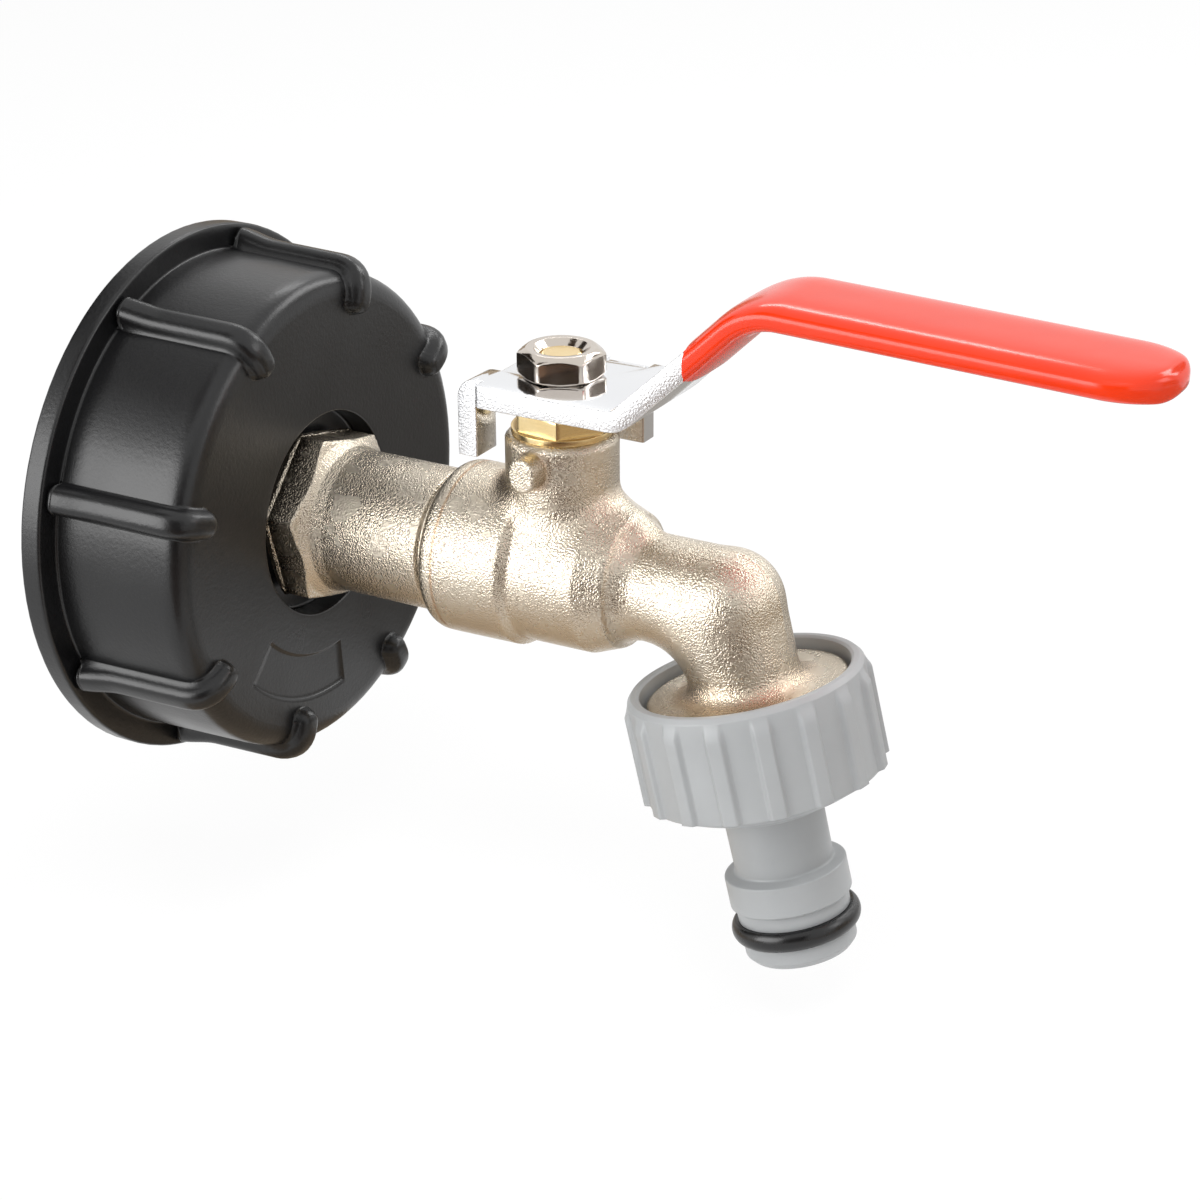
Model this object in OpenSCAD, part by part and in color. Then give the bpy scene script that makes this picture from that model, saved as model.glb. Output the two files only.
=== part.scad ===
// Tank tap adapter: a coarse-threaded tank cap, a lever ball valve with a bent
// spout, and a screwed hose connector with a quick-connect nipple.
// Origin: centre of the cap's open rim, on the thread axis.
// +X runs out of the tank along the flow, +Z runs up along the valve stem.

/* [Tank cap] */
// Nominal diameter of the tank thread
tank_thread_d = 60; // [52:0.5:70]
// Pitch of the tank thread
tank_thread_pitch = 6; // [4:0.5:7]
// Turns of thread inside the cap
tank_thread_turns = 1.4; // [1:0.1:1.4]
// Height of the thread ridge above the bore
tank_thread_depth = 2.4; // [1.2:0.1:3]
// Length of the plain mouth ahead of the thread
mouth_l = 2.4; // [1.5:0.1:3]
// How much wider the plain mouth is than the thread's root
mouth_relief = 0.5; // [0.3:0.1:1]
// Wall round the tank thread
cap_wall = 5.6; // [4:0.2:8]
// Length of the cap along the flow
cap_length = 24.4; // [23.4:0.2:28]
// Thickness of the end wall of the cap
cap_end_wall = 6.4; // [5.4:0.2:7.4]
// How far the rim flange stands out from the cap wall
flange_reach = 4; // [2:0.5:8]
// Thickness of the rim flange
flange_t = 3.3; // [2:0.1:5]
// Radius that rounds the front shoulder of the cap
shoulder_r = 3.4; // [1.5:0.1:5]
// Number of grip ribs
rib_count = 8; // [5:1:12]
// Width of one grip rib
rib_w = 4.4; // [3:0.2:6]
// Height of a grip rib above the wall and face
rib_h = 2.3; // [1:0.1:3.5]
// How far a rib reaches onto the face from the wall
rib_reach = 6.5; // [5:0.1:9]
// Angle of the first rib, from +Y towards +Z
rib_angle = 73.5; // [0:0.5:90]
// Start of the bare sunk panel on the face, from +Y towards +Z
panel_angle = -136; // [-180:1:180]
// Angle covered by the sunk panel
panel_sweep = 51; // [10:1:60]
// Inner radius of the sunk panel
panel_r = 21.5; // [18:0.5:24]
// Width of the sunk panel, outwards
panel_l = 6.5; // [3:0.5:7]
// Depth of the sunk panel
panel_depth = 0.4; // [0.2:0.1:1]
// Radius of the recess round the hexagon
recess_r = 15.2; // [14.6:0.1:17]
// Depth of the recess round the hexagon
recess_depth = 4.2; // [2.5:0.1:4.4]
// Length of the threaded boss inside the cap
boss_length = 9; // [6:0.5:11]
// Thickness of the flat gasket in the cap
gasket_t = 2.4; // [1.5:0.1:3]

/* [Inlet nipple] */
// Major radius of the half-inch pipe thread
pipe_thread_r = 10.48; // [9.6:0.01:10.6]
// Width across the flats of the hexagon
hex_af = 23.2; // [22:0.2:25]
// Length of the hexagon
hex_length = 4.6; // [3.5:0.1:7]
// Angle of one corner of the hexagon, from +Y towards +Z
hex_turn = 46.5; // [0:0.5:60]
// Radius of the round tube
tube_r = 10.4; // [9.9:0.1:11]
// Radius of the water way
nipple_bore_r = 7.25; // [6:0.05:7.6]
// Thickness of the rubber washer under the hexagon
nipple_seal_t = 1.4; // [1:0.1:2.5]
// Radius of the thread that screws into the valve body
body_thread_r = 9.4; // [9:0.1:9.8]

/* [Valve body] */
// Distance from the cap's rim to the stem
stem_x = 64.6; // [62:0.2:72]
// Distance from the stem back to the body's inlet face
body_back = 17; // [15.6:0.2:19]
// Radius of the inlet ring of the body
ring_r = 12.4; // [11.8:0.1:14]
// Length of the inlet ring of the body
ring_length = 12.8; // [9:0.2:15]
// Radius of the middle band of the body
band_r = 11.2; // [10.6:0.1:11.7]
// Distance from the stem to the front end of the middle band
band_front = 7; // [6:0.1:9]
// Outer radius of the neck round the stem
neck_r = 7.95; // [7.6:0.05:8.1]
// Height of the neck's top above the flow axis
neck_top = 20.2; // [19.4:0.1:21.2]
// Half width of a stop boss
stop_half_w = 2; // [1.5:0.1:2.4]
// Height of a stop boss
stop_h = 4.8; // [4:0.1:5]
// Distance of a stop boss tip from the stem axis
stop_reach = 11.2; // [10.2:0.1:11.6]
// Height of the stop bosses above the flow axis
stop_z = 17; // [16:0.1:17.2]
// Gap between a stop tab and its boss at the end of the lever's travel
stop_gap = 0.5; // [0.2:0.1:0.8]

/* [Spout] */
// Outer radius of the spout's horizontal run
run_r = 7.6; // [7.2:0.1:8.4]
// Outer radius of the spout's leg
spout_r = 7.8; // [7.2:0.1:8.4]
// Radius of the water way in the spout
spout_bore_r = 5.5; // [4.5:0.1:6]
// Angle of the spout from straight down
spout_tilt = 13.9; // [0:0.1:25]
// Height of the spout's horizontal run against the flow axis
spout_drop = 0.3; // [0:0.1:1]
// Distance from the stem to the corner of the spout
elbow_reach = 26.2; // [25:0.2:32]
// Distance from the corner down to the connector's rim
elbow_drop = 10.5; // [9.5:0.1:14]
// Radius of the disc at the spout's foot
foot_r = 14.2; // [13.6:0.1:14.5]
// Thickness of the disc at the spout's foot
foot_t = 1.9; // [1.2:0.1:2.5]
// Major radius of the three-quarter pipe thread
hose_thread_r = 13.2; // [12.6:0.05:13.4]
// Depth of the three-quarter pipe thread
hose_thread_depth = 1.15; // [0.8:0.05:1.2]
// Pitch of the three-quarter pipe thread
hose_thread_pitch = 1.814; // [1.5:0.001:2]
// Length of the threaded end below the disc
spout_thread_length = 8.4; // [7:0.1:9]

/* [Ball and seats] */
// Radius of the ball
ball_r = 8; // [7.4:0.1:8.1]
// Radius of the bore through the ball
ball_bore_r = 4.75; // [3.5:0.05:5.2]
// Distance from the stem to the back of each seat
seat_back = 7.8; // [7.4:0.1:8.2]
// Distance from the stem to the front of each seat
seat_front = 4.3; // [4:0.1:5]
// Outer radius of each seat
seat_r = 8.2; // [8:0.05:8.3]
// Inner radius of each seat
seat_bore_r = 5; // [4.6:0.05:5.6]

/* [Stem and packing] */
// Radius of the stem
stem_r = 4; // [3.4:0.1:4.2]
// Radius of the shoulder that holds the stem in
stem_shoulder_r = 5; // [4.8:0.1:5.2]
// Thickness of the stem's shoulder
stem_shoulder_t = 1.5; // [1:0.1:1.8]
// Radius of the stem's threaded end
stem_thread_r = 3; // [2.6:0.05:3.1]
// Distance between the flats of the stem
stem_flats = 6.2; // [6.2:0.1:7]
// Width of the tang that turns the ball
tang_w = 3; // [2:0.1:3.6]
// Length of the tang that turns the ball
tang_l = 6.4; // [4:0.1:7]
// Depth of the tang in the ball
tang_depth = 2.9; // [2:0.1:3]
// Thickness of the thrust washer
thrust_t = 0.6; // [0.4:0.1:1]
// Radius of the packing chamber
packing_r = 6; // [5.6:0.1:6.2]
// Height of the packing ring
packing_t = 3; // [2:0.1:3.2]
// Height of the packing follower
follower_t = 1.1; // [0.8:0.1:1.5]
// Radius of the gland nut's collar
gland_collar_r = 7.1; // [6.9:0.05:7.3]
// Thickness of the gland nut's collar
gland_collar_t = 0.9; // [0.6:0.1:1.2]
// Width across the flats of the gland nut
gland_af = 12; // [11:0.1:12.4]
// Height of the gland nut's hexagon
gland_hex_t = 3.4; // [2.5:0.1:3.5]
// Angle of one corner of the gland nut where it came to rest
gland_turn = -6; // [-30:1:30]

/* [Lever] */
// Thickness of the lever plate
lever_t = 3; // [2:0.1:3.4]
// Height of the lever's underside above the flow axis
lever_z = 25.3; // [24.9:0.1:26.5]
// Half width of the lever at its hub
hub_half_w = 10.3; // [9.4:0.1:11]
// Distance from the stem back to the lever's rear edge
hub_back = 12.1; // [11.4:0.1:13]
// Distance from the stem to the first bend
bend_x = 12.6; // [11.8:0.2:16]
// Angle of the rising part of the arm
rise_angle = 44; // [20:0.5:50]
// Length of the rising part of the arm
rise_length = 19; // [14:0.5:30]
// Radius of the first bend, at the middle of the plate
bend_r = 3.2; // [2.4:0.1:6]
// Radius of the second bend, at the middle of the plate
crest_r = 10.6; // [4:0.2:14]
// Downward slope of the grip
grip_slope = 1.9; // [0:0.1:5]
// Distance from the stem to the tip of the grip
lever_length = 88; // [70:0.2:120]
// Half width of the arm inside the grip
arm_half_w = 7.8; // [6:0.1:8]
// Distance from the lever's top down to the ends of the stop tabs
tab_drop = 11.3; // [10.8:0.1:11.4]
// How far the plate's rear edge stands ahead of the rear tab's bend
tab_relief = 1; // [0.4:0.1:1.5]
// Width of the rear stop tab
tab_w = 5.2; // [4:0.1:5.6]
// Distance from the stem axis to the side stop tab
side_tab_y = 8.2; // [8.2:0.1:8.8]
// Forward end of the side stop tab, from the stem
side_tab_x = 8.3; // [6:0.1:9]
// Thickness of the vinyl grip
grip_wall = 0.75; // [0.6:0.05:1.4]
// Distance along the rising part to the grip's mouth
grip_start = 11.4; // [7:0.2:13]
// Width across the flats of the lever nut
nut_af = 11; // [10:0.1:13]
// Height of the lever nut
nut_t = 4.1; // [3.6:0.1:6]
// Angle of one corner of the lever nut where it came to rest
nut_turn = -32; // [-60:1:0]

/* [Hose connector] */
// Radius of the collar between its ribs
collar_r = 16.7; // [16.4:0.1:18.5]
// Height of a rib on the collar
collar_rib_h = 0.75; // [0.4:0.05:1.2]
// Width of a rib on the collar
collar_rib_w = 2.6; // [1.4:0.1:3]
// Number of ribs on the collar
collar_rib_count = 16; // [10:1:20]
// Radius of the mouth of the collar
mouth_r = 14.9; // [14.7:0.05:15.2]
// Depth of the mouth of the collar
mouth_depth = 3.8; // [3.7:0.1:4.2]
// Length of the collar
collar_length = 15.4; // [15.2:0.1:18]
// Radius of the nipple's neck
stalk_r = 7; // [6.6:0.05:7.3]
// Distance from the rim to the locking ring
ring_start = 28.2; // [26:0.1:30]
// Length of the locking ring
ring_l = 6; // [4:0.1:7]
// Radius of the locking ring
lock_ring_r = 8.7; // [8.4:0.05:8.9]
// Radius of the nose
nose_r = 8; // [7.7:0.05:8.2]
// Length of the nipple beyond the locking ring
nose_l = 7.6; // [7:0.1:9]
// Radius of the water way of the nipple
nipple_way_r = 5; // [4:0.1:5.4]
// Distance from the locking ring to the O-ring's middle
o_ring_offset = 2.6; // [2.4:0.1:3.4]
// Radius of the O-ring's cord
o_ring_cord_r = 1.3; // [1:0.05:1.4]
// Outer radius of the O-ring
o_ring_r = 9.25; // [9:0.05:9.4]
// Thickness of the flat washer in the collar
hose_washer_t = 2.2; // [1.5:0.1:2.4]

/* [Hidden] */

// Clearances shared by mating pieces
fit_gap = 0.06;
run_gap = 0.05;
thread_gap = 0.15;
seat_gap = 0.3;
eps = 0.01;

// Finish colours
black_pp = [0.09, 0.09, 0.09];
rubber = [0.14, 0.14, 0.15];
nickel = [0.80, 0.76, 0.68];
brass = [0.83, 0.66, 0.32];
chrome = [0.86, 0.87, 0.88];
ptfe = [0.95, 0.95, 0.93];
red_vinyl = [0.93, 0.22, 0.15];
grey_plastic = [0.70, 0.71, 0.72];

// Cap, worked out from the driving sizes
tank_bore_r = tank_thread_d / 2 + 0.2;
cap_r = tank_bore_r + cap_wall;
flange_r = cap_r + flange_reach;
cap_inner_x = cap_length - cap_end_wall;
recess_x = cap_length - recess_depth;
boss_r = recess_r - 0.8;
boss_x = cap_inner_x - boss_length;
thread_root_w = 3.6;
thread_crest_w = 1.2;
thread_start_x = mouth_l + thread_root_w / 2 + 0.4;

// Inlet nipple
hex_x = recess_x + nipple_seal_t;
hex_front_x = hex_x + hex_length;
body_x = stem_x - body_back;
thread_seal_t = 0.4;
tube_end_x = body_x - thread_seal_t;
nipple_end_x = stem_x - seat_back;

// Stem parts, from the ball upwards
shoulder_z = max(ball_r, seat_r) + run_gap;
shoulder_top = shoulder_z + stem_shoulder_t;
thrust_top = shoulder_top + thrust_t;
packing_z = thrust_top + 2.4;
follower_z = packing_z + packing_t;
gland_end_z = follower_z + follower_t;
lever_top = lever_z + lever_t;
stem_top = lever_top + nut_t - 0.8;

// Spout: the connector's rim is the reference for everything on its axis
corner_x = stem_x + elbow_reach;
corner_z = -spout_drop;
foot_top = 1.6;
foot_bottom = foot_top + foot_t;
spout_end = foot_bottom + spout_thread_length;
hose_core_r = hose_thread_r - hose_thread_depth;
hose_steps = 36;

// Connector, measured along its axis from the rim
washer_top = spout_end + eps;
collar_floor = washer_top + hose_washer_t;
nose_end = ring_start + ring_l + nose_l;
o_ring_s = ring_start + ring_l + o_ring_offset;
o_ring_centre_r = o_ring_r - o_ring_cord_r;
groove_r = o_ring_centre_r - o_ring_cord_r;

// Turns a profile of [distance along +X, radius] round the flow axis
module along_x() {
    rotate([0, 90, 0])
    rotate_extrude($fn = 120)
    rotate([0, 0, 90])
    mirror([0, 1])
    children();
}

// Places something made along +Z so that it runs down the spout from the rim
module at_spout() {
    translate([corner_x, 0, corner_z])
    rotate([0, 180 - spout_tilt, 0])
    translate([0, 0, elbow_drop])
    children();
}

// Points of an arc about c, from one angle to another in n steps
function arc(c, r, from, to, n) = [
    for (i = [0 : n])
        let (a = from + (to - from) * i / n)
        [c[0] + r * cos(a), c[1] + r * sin(a)]
];

module hexagon(af, h) {
    cylinder(r = af / 2 / cos(30), h = h, $fn = 6);
}

// Takes the corners off a hexagon at one or both ends, as turning does
module hex_nut_blank(af, h, top, bottom) {
    corner = af / 2 / cos(30);
    land = af / 2 * 0.97;
    drop = (corner - land) * tan(28);
    intersection() {
        hexagon(af, h);
        rotate_extrude($fn = 96)
        polygon([[0, 0], [bottom ? land : corner + 1, 0],
            [corner + 1, bottom ? drop + tan(28) : 0],
            [corner + 1, top ? h - drop - tan(28) : h], [top ? land : corner + 1, h], [0, h]]);
    }
}

// Corners of a thread ridge's section at one step, as [radius, height] pairs.
// full runs from 0 at the very end of the ridge to 1 where it has its whole height.
function ridge_section(root_r, crest_r, root_w, crest_w, full) = [
    [root_r, -root_w / 2],
    [root_r + (crest_r - root_r) * full, -crest_w / 2 - (root_w - crest_w) / 2 * (1 - full)],
    [root_r + (crest_r - root_r) * full, crest_w / 2 + (root_w - crest_w) / 2 * (1 - full)],
    [root_r, root_w / 2]
];

// A right-hand helical ridge round +Z that fades out over part of a turn at both ends
module helical_ridge(root_r, crest_r, root_w, crest_w, pitch, turns, steps, fade) {
    count = round(turns * steps);
    points = [
        for (i = [0 : count])
            let (full = min(1, min(i, count - i) / (fade * steps) + 0.05))
            for (p = ridge_section(root_r, crest_r, root_w, crest_w, full))
                [p[0] * cos(360 * i / steps), p[0] * sin(360 * i / steps), p[1] + pitch * i / steps]
    ];
    outward = crest_r > root_r;
    sides = [
        for (i = [0 : count - 1])
            for (k = [0 : 3])
                let (a = 4 * i + k, b = 4 * i + (k + 1) % 4)
                outward ? [a, b, b + 4, a + 4] : [a + 4, b + 4, b, a]
    ];
    start = outward ? [3, 2, 1, 0] : [0, 1, 2, 3];
    end = [for (k = outward ? [0 : 3] : [3 : -1 : 0]) 4 * count + k];
    polyhedron(points = points, faces = concat(sides, [start, end]), convexity = 8);
}

// Stations along a grip rib as [x, radius, heading of its crest, width, height]:
// along the wall, round the shoulder and onto the face, where it narrows to its tip
function rib_stations() = concat(
    [[flange_t - 1, cap_r, 90, rib_w, rib_h]],
    [for (h = [90 : -22.5 : 0])
        [cap_length - shoulder_r + shoulder_r * cos(h), cap_r - shoulder_r + shoulder_r * sin(h),
            h, rib_w, rib_h]],
    [for (u = [0 : 22.5 : 67.5])
        [cap_length, cap_r - rib_reach + rib_w / 2 * (1 - sin(u)), 0, rib_w * cos(u),
            rib_h * (0.72 + 0.28 * cos(u))]]);

// Section of a rib as [height over the wall, sideways offset], rounded at the crest
function rib_section(w, h) = [[-2, -w / 2], [h - w * 0.3, -w / 2], [h - w * 0.1, -w * 0.42],
    [h, -w * 0.24], [h, w * 0.24], [h - w * 0.1, w * 0.42], [h - w * 0.3, w / 2], [-2, w / 2]];

module cap_rib() {
    line = rib_stations();
    last = len(line) - 1;
    points = [
        for (p = line)
            for (q = rib_section(p[3], p[4]))
                [p[0] + q[0] * cos(p[2]), p[1] + q[0] * sin(p[2]), q[1]]
    ];
    sides = [for (i = [0 : last - 1]) for (k = [0 : 7])
        [8 * i + 8 + k, 8 * i + 8 + (k + 1) % 8, 8 * i + (k + 1) % 8, 8 * i + k]];
    start = [for (k = [0 : 7]) k];
    end = [for (k = [7 : -1 : 0]) 8 * last + k];
    rotate([rib_angle, 0, 0])
    polyhedron(points = points, faces = concat(sides, [start, end]), convexity = 4);
}

// Half section of the cap as [x, radius]
module cap_profile() {
    shoulder = [cap_length - shoulder_r, cap_r - shoulder_r];
    hole_r = pipe_thread_r + fit_gap;
    polygon(concat(
        [[0, tank_bore_r + mouth_relief], [0, flange_r - 0.5], [0.5, flange_r], [flange_t - 0.5, flange_r],
            [flange_t, flange_r - 0.5], [flange_t, cap_r]],
        arc(shoulder, shoulder_r, 90, 0, 6),
        [[cap_length, recess_r], [recess_x, recess_r], [recess_x, hole_r], [boss_x, hole_r],
            [boss_x, boss_r], [cap_inner_x, boss_r], [cap_inner_x, tank_bore_r], [mouth_l, tank_bore_r],
            [mouth_l, tank_bore_r + mouth_relief]]));
}

module tank_cap() {
    color(black_pp) {
        difference() {
            along_x()
            cap_profile();
            rotate([0, 90, 0])
            rotate([0, 0, 90 + panel_angle])
            translate([0, 0, cap_length - panel_depth])
            rotate_extrude(angle = panel_sweep, $fn = 120)
            translate([panel_r, 0])
            square([panel_l, 1]);
        }
        rotate([0, 90, 0])
        translate([0, 0, thread_start_x])
        helical_ridge(tank_bore_r + 0.3, tank_bore_r - tank_thread_depth, thread_root_w,
            thread_crest_w, tank_thread_pitch, tank_thread_turns, 40, 0.2);
        for (k = [0 : rib_count - 1])
            rotate([360 / rib_count * k, 0, 0])
            cap_rib();
    }
}

module cap_gasket() {
    color(rubber)
    along_x()
    translate([cap_inner_x - gasket_t, boss_r + seat_gap])
    square([gasket_t, tank_bore_r - boss_r - 2 * seat_gap]);
}

module nipple_seal() {
    color(rubber)
    along_x()
    translate([recess_x, pipe_thread_r + fit_gap])
    square([nipple_seal_t, hex_af / 2 - pipe_thread_r - fit_gap]);
}

module inlet_nipple() {
    flare = 2.4;
    edge = 1;
    color(nickel)
    difference() {
        union() {
            along_x()
            polygon(concat(
                [[boss_x + 0.6, 0], [boss_x + 0.6, pipe_thread_r - edge],
                    [boss_x + 0.6 + edge, pipe_thread_r], [hex_x + 1, pipe_thread_r]],
                arc([hex_front_x - eps + flare, tube_r + flare], flare, 210, 270, 5),
                [[tube_end_x, tube_r], [tube_end_x, body_thread_r], [nipple_end_x, body_thread_r],
                    [nipple_end_x, 0]]));
            translate([hex_x, 0, 0])
            rotate([0, 90, 0])
            rotate([0, 0, 90 + hex_turn])
            hex_nut_blank(hex_af, hex_length, true, true);
        }
        along_x()
        square([nipple_end_x + 1, nipple_bore_r]);
    }
}

module thread_seal() {
    color(ptfe)
    along_x()
    translate([tube_end_x, body_thread_r + fit_gap])
    square([thread_seal_t, tube_r - body_thread_r - fit_gap]);
}

// Outside of the forging round the flow axis
module body_profile() {
    polygon([[body_x, 0], [body_x, ring_r - 0.9], [body_x + 0.9, ring_r],
        [body_x + ring_length, ring_r - 0.1], [body_x + ring_length + 1.2, band_r],
        [stem_x + band_front, band_r], [stem_x + band_front + 4, band_r - 1.5],
        [stem_x + band_front + 7, run_r - 0.7], [stem_x + band_front + 7, 0]]);
}

// One stop boss: a stadium-shaped stub that stands out of the neck
module stop_boss() {
    round_r = stop_half_w;
    translate([0, 0, stop_z])
    rotate([90, 0, 0])
    linear_extrude(stop_reach)
    hull() {
        translate([0, stop_h / 2 - round_r])
        circle(r = round_r, $fn = 32);
        translate([0, round_r - stop_h / 2])
        circle(r = round_r, $fn = 32);
    }
}

// Half section of the neck: a cylinder with a broken edge and a hollow fillet at its foot
module neck_profile() {
    edge = 0.6;
    fillet = 3.4;
    fillet_z = 15.6;
    start = 260;
    polygon(concat(
        [[0, 0], [neck_r + fillet * (1 + cos(start)), 0]],
        arc([neck_r + fillet, fillet_z], fillet, start, 180, 6),
        [[neck_r, neck_top - edge], [neck_r - edge, neck_top], [0, neck_top]]));
}

// Half section of the spout's leg: tube, fillet, disc and threaded core
module spout_profile() {
    fillet = 2.4;
    edge = 0.4;
    polygon(concat(
        [[0, -elbow_drop], [spout_r, -elbow_drop]],
        arc([spout_r + fillet, foot_top - fillet], fillet, 180, 90, 5),
        [[foot_r - edge, foot_top], [foot_r, foot_top + edge], [foot_r, foot_bottom],
            [hose_core_r, foot_bottom], [hose_core_r, spout_end - edge],
            [hose_core_r - edge, spout_end], [0, spout_end]]));
}

module valve_body() {
    bore_overrun = 3.5;
    color(nickel)
    difference() {
        union() {
            along_x()
            body_profile();
            translate([stem_x, 0, 0]) {
                rotate_extrude($fn = 96)
                neck_profile();
                stop_boss();
                rotate([0, 0, 180])
                stop_boss();
            }
            translate([stem_x + band_front, 0, corner_z])
            rotate([0, 90, 0])
            cylinder(r = run_r, h = elbow_reach - band_front, $fn = 96);
            translate([corner_x, 0, corner_z])
            sphere(r = spout_r + 0.2, $fn = 96);
            at_spout() {
                rotate_extrude($fn = 96)
                spout_profile();
                translate([0, 0, foot_bottom + 0.9])
                helical_ridge(hose_core_r - 0.15, hose_thread_r, 1.6, 0.3, hose_thread_pitch,
                    (spout_thread_length - 1.8) / hose_thread_pitch, hose_steps, 0.4);
            }
        }
        along_x() {
            translate([body_x - 1, 0])
            square([body_back + 1 - seat_back, body_thread_r + fit_gap]);
            translate([nipple_end_x - 1, 0])
            square([2 * seat_back + 1, seat_r + 0.1]);
        }
        translate([stem_x, 0, corner_z])
        rotate([0, 90, 0])
        cylinder(r = spout_bore_r + 0.3, h = elbow_reach + bore_overrun, $fn = 64);
        at_spout()
        translate([0, 0, -elbow_drop - bore_overrun])
        cylinder(r = spout_bore_r, h = elbow_drop + bore_overrun + spout_end + 1, $fn = 64);
        translate([stem_x, 0, 0]) {
            cylinder(r = stem_shoulder_r + 0.2, h = thrust_top, $fn = 64);
            cylinder(r = stem_r + run_gap, h = neck_top + 1, $fn = 64);
            translate([0, 0, packing_z])
            cylinder(r = packing_r, h = neck_top, $fn = 64);
        }
    }
}

// Ring of one seat upstream of the stem, hollowed to the ball
module seat() {
    difference() {
        along_x()
        translate([-seat_back, seat_bore_r])
        square([seat_back - seat_front, seat_r - seat_bore_r]);
        sphere(r = ball_r + run_gap, $fn = 96);
    }
}

module inlet_seat() {
    color(ptfe)
    translate([stem_x, 0, 0])
    seat();
}

module outlet_seat() {
    color(ptfe)
    translate([stem_x, 0, 0])
    rotate([0, 0, 180])
    seat();
}

module ball() {
    color(chrome)
    translate([stem_x, 0, 0])
    difference() {
        sphere(r = ball_r, $fn = 96);
        rotate([0, 90, 0])
        cylinder(r = ball_bore_r, h = 3 * ball_r, center = true, $fn = 64);
        translate([-tang_w / 2 - fit_gap, -ball_r, ball_r - tang_depth - fit_gap])
        cube([tang_w + 2 * fit_gap, 2 * ball_r, ball_r]);
    }
}

module stem() {
    color(brass)
    translate([stem_x, 0, 0]) {
        translate([-tang_w / 2, -tang_l / 2, ball_r - tang_depth])
        cube([tang_w, tang_l, tang_depth + 1]);
        translate([0, 0, shoulder_z])
        cylinder(r = stem_shoulder_r, h = stem_shoulder_t, $fn = 64);
        translate([0, 0, shoulder_z])
        cylinder(r = stem_r, h = lever_z - shoulder_z, $fn = 64);
        intersection() {
            translate([0, 0, lever_z - 1])
            cylinder(r = stem_r, h = lever_t + 0.8, $fn = 64);
            translate([-stem_flats / 2, -stem_r - 1, lever_z - 1])
            cube([stem_flats, 2 * stem_r + 2, lever_t + 2]);
        }
        translate([0, 0, lever_z])
        cylinder(r = stem_thread_r, h = stem_top - lever_z - 0.5, $fn = 64);
        translate([0, 0, stem_top - 0.5])
        cylinder(r1 = stem_thread_r, r2 = stem_thread_r - 0.5, h = 0.5, $fn = 64);
    }
}

// A flat ring round the stem
module stem_ring(z, h, outer) {
    translate([stem_x, 0, z])
    difference() {
        cylinder(r = outer, h = h, $fn = 64);
        translate([0, 0, -1])
        cylinder(r = stem_r + run_gap, h = h + 2, $fn = 64);
    }
}

module stem_thrust_washer() {
    color(ptfe)
    stem_ring(shoulder_top + 0.02, thrust_t - 0.02, stem_shoulder_r);
}

module stem_packing() {
    color(ptfe)
    stem_ring(packing_z, packing_t, packing_r - 0.05);
}

module packing_follower() {
    color(brass)
    stem_ring(follower_z, follower_t, packing_r - 0.05);
}

module gland_nut() {
    color(brass)
    difference() {
        translate([stem_x, 0, 0]) {
            translate([0, 0, gland_end_z])
            cylinder(r = packing_r - 0.05, h = neck_top - gland_end_z + 0.5, $fn = 64);
            translate([0, 0, neck_top])
            cylinder(r = gland_collar_r, h = gland_collar_t, $fn = 64);
            translate([0, 0, neck_top + gland_collar_t - 0.3])
            rotate([0, 0, gland_turn])
            hex_nut_blank(gland_af, gland_hex_t + 0.3, true, false);
        }
        translate([stem_x, 0, 0])
        cylinder(r = stem_r + run_gap, h = 3 * neck_top, $fn = 64);
    }
}

// The lever's middle line in its side view, as [x, z, heading] stations.
// It runs from the stem through both bends to the tip of the arm.
bend_steps = 6;
mid_z = lever_z + lever_t / 2;
rise_x = bend_x + bend_r * sin(rise_angle);
rise_z = mid_z + bend_r * (1 - cos(rise_angle));
grip_mouth_x = rise_x + grip_start * cos(rise_angle);
crest_x = rise_x + rise_length * cos(rise_angle);
crest_z = rise_z + rise_length * sin(rise_angle);
turn_angle = rise_angle + grip_slope;
top_x = crest_x + crest_r * (sin(rise_angle) + sin(grip_slope));
top_z = crest_z + crest_r * (cos(grip_slope) - cos(rise_angle));

function lower_bend(u) = [bend_x + bend_r * sin(rise_angle * u),
    mid_z + bend_r * (1 - cos(rise_angle * u)), rise_angle * u];

function upper_bend(u) = let (h = rise_angle - turn_angle * u)
    [crest_x + crest_r * (sin(rise_angle) - sin(h)), crest_z + crest_r * (cos(h) - cos(rise_angle)), h];

function grip_line(x) = [x, top_z - (x - top_x) * tan(grip_slope), -grip_slope];

function lever_line(back, tip) = concat([[back, mid_z, 0]],
    [for (i = [0 : bend_steps]) lower_bend(i / bend_steps)],
    [for (i = [0 : bend_steps]) upper_bend(i / bend_steps)],
    [grip_line(tip)]);

// Side view of a strip of the given half thickness along a line of stations
module strip_profile(line, half) {
    above = [for (p = line) [p[0] - half * sin(p[2]), p[1] + half * cos(p[2])]];
    below = [for (i = [len(line) - 1 : -1 : 0]) let (p = line[i])
        [p[0] + half * sin(p[2]), p[1] - half * cos(p[2])]];
    polygon(concat(above, below));
}

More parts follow.
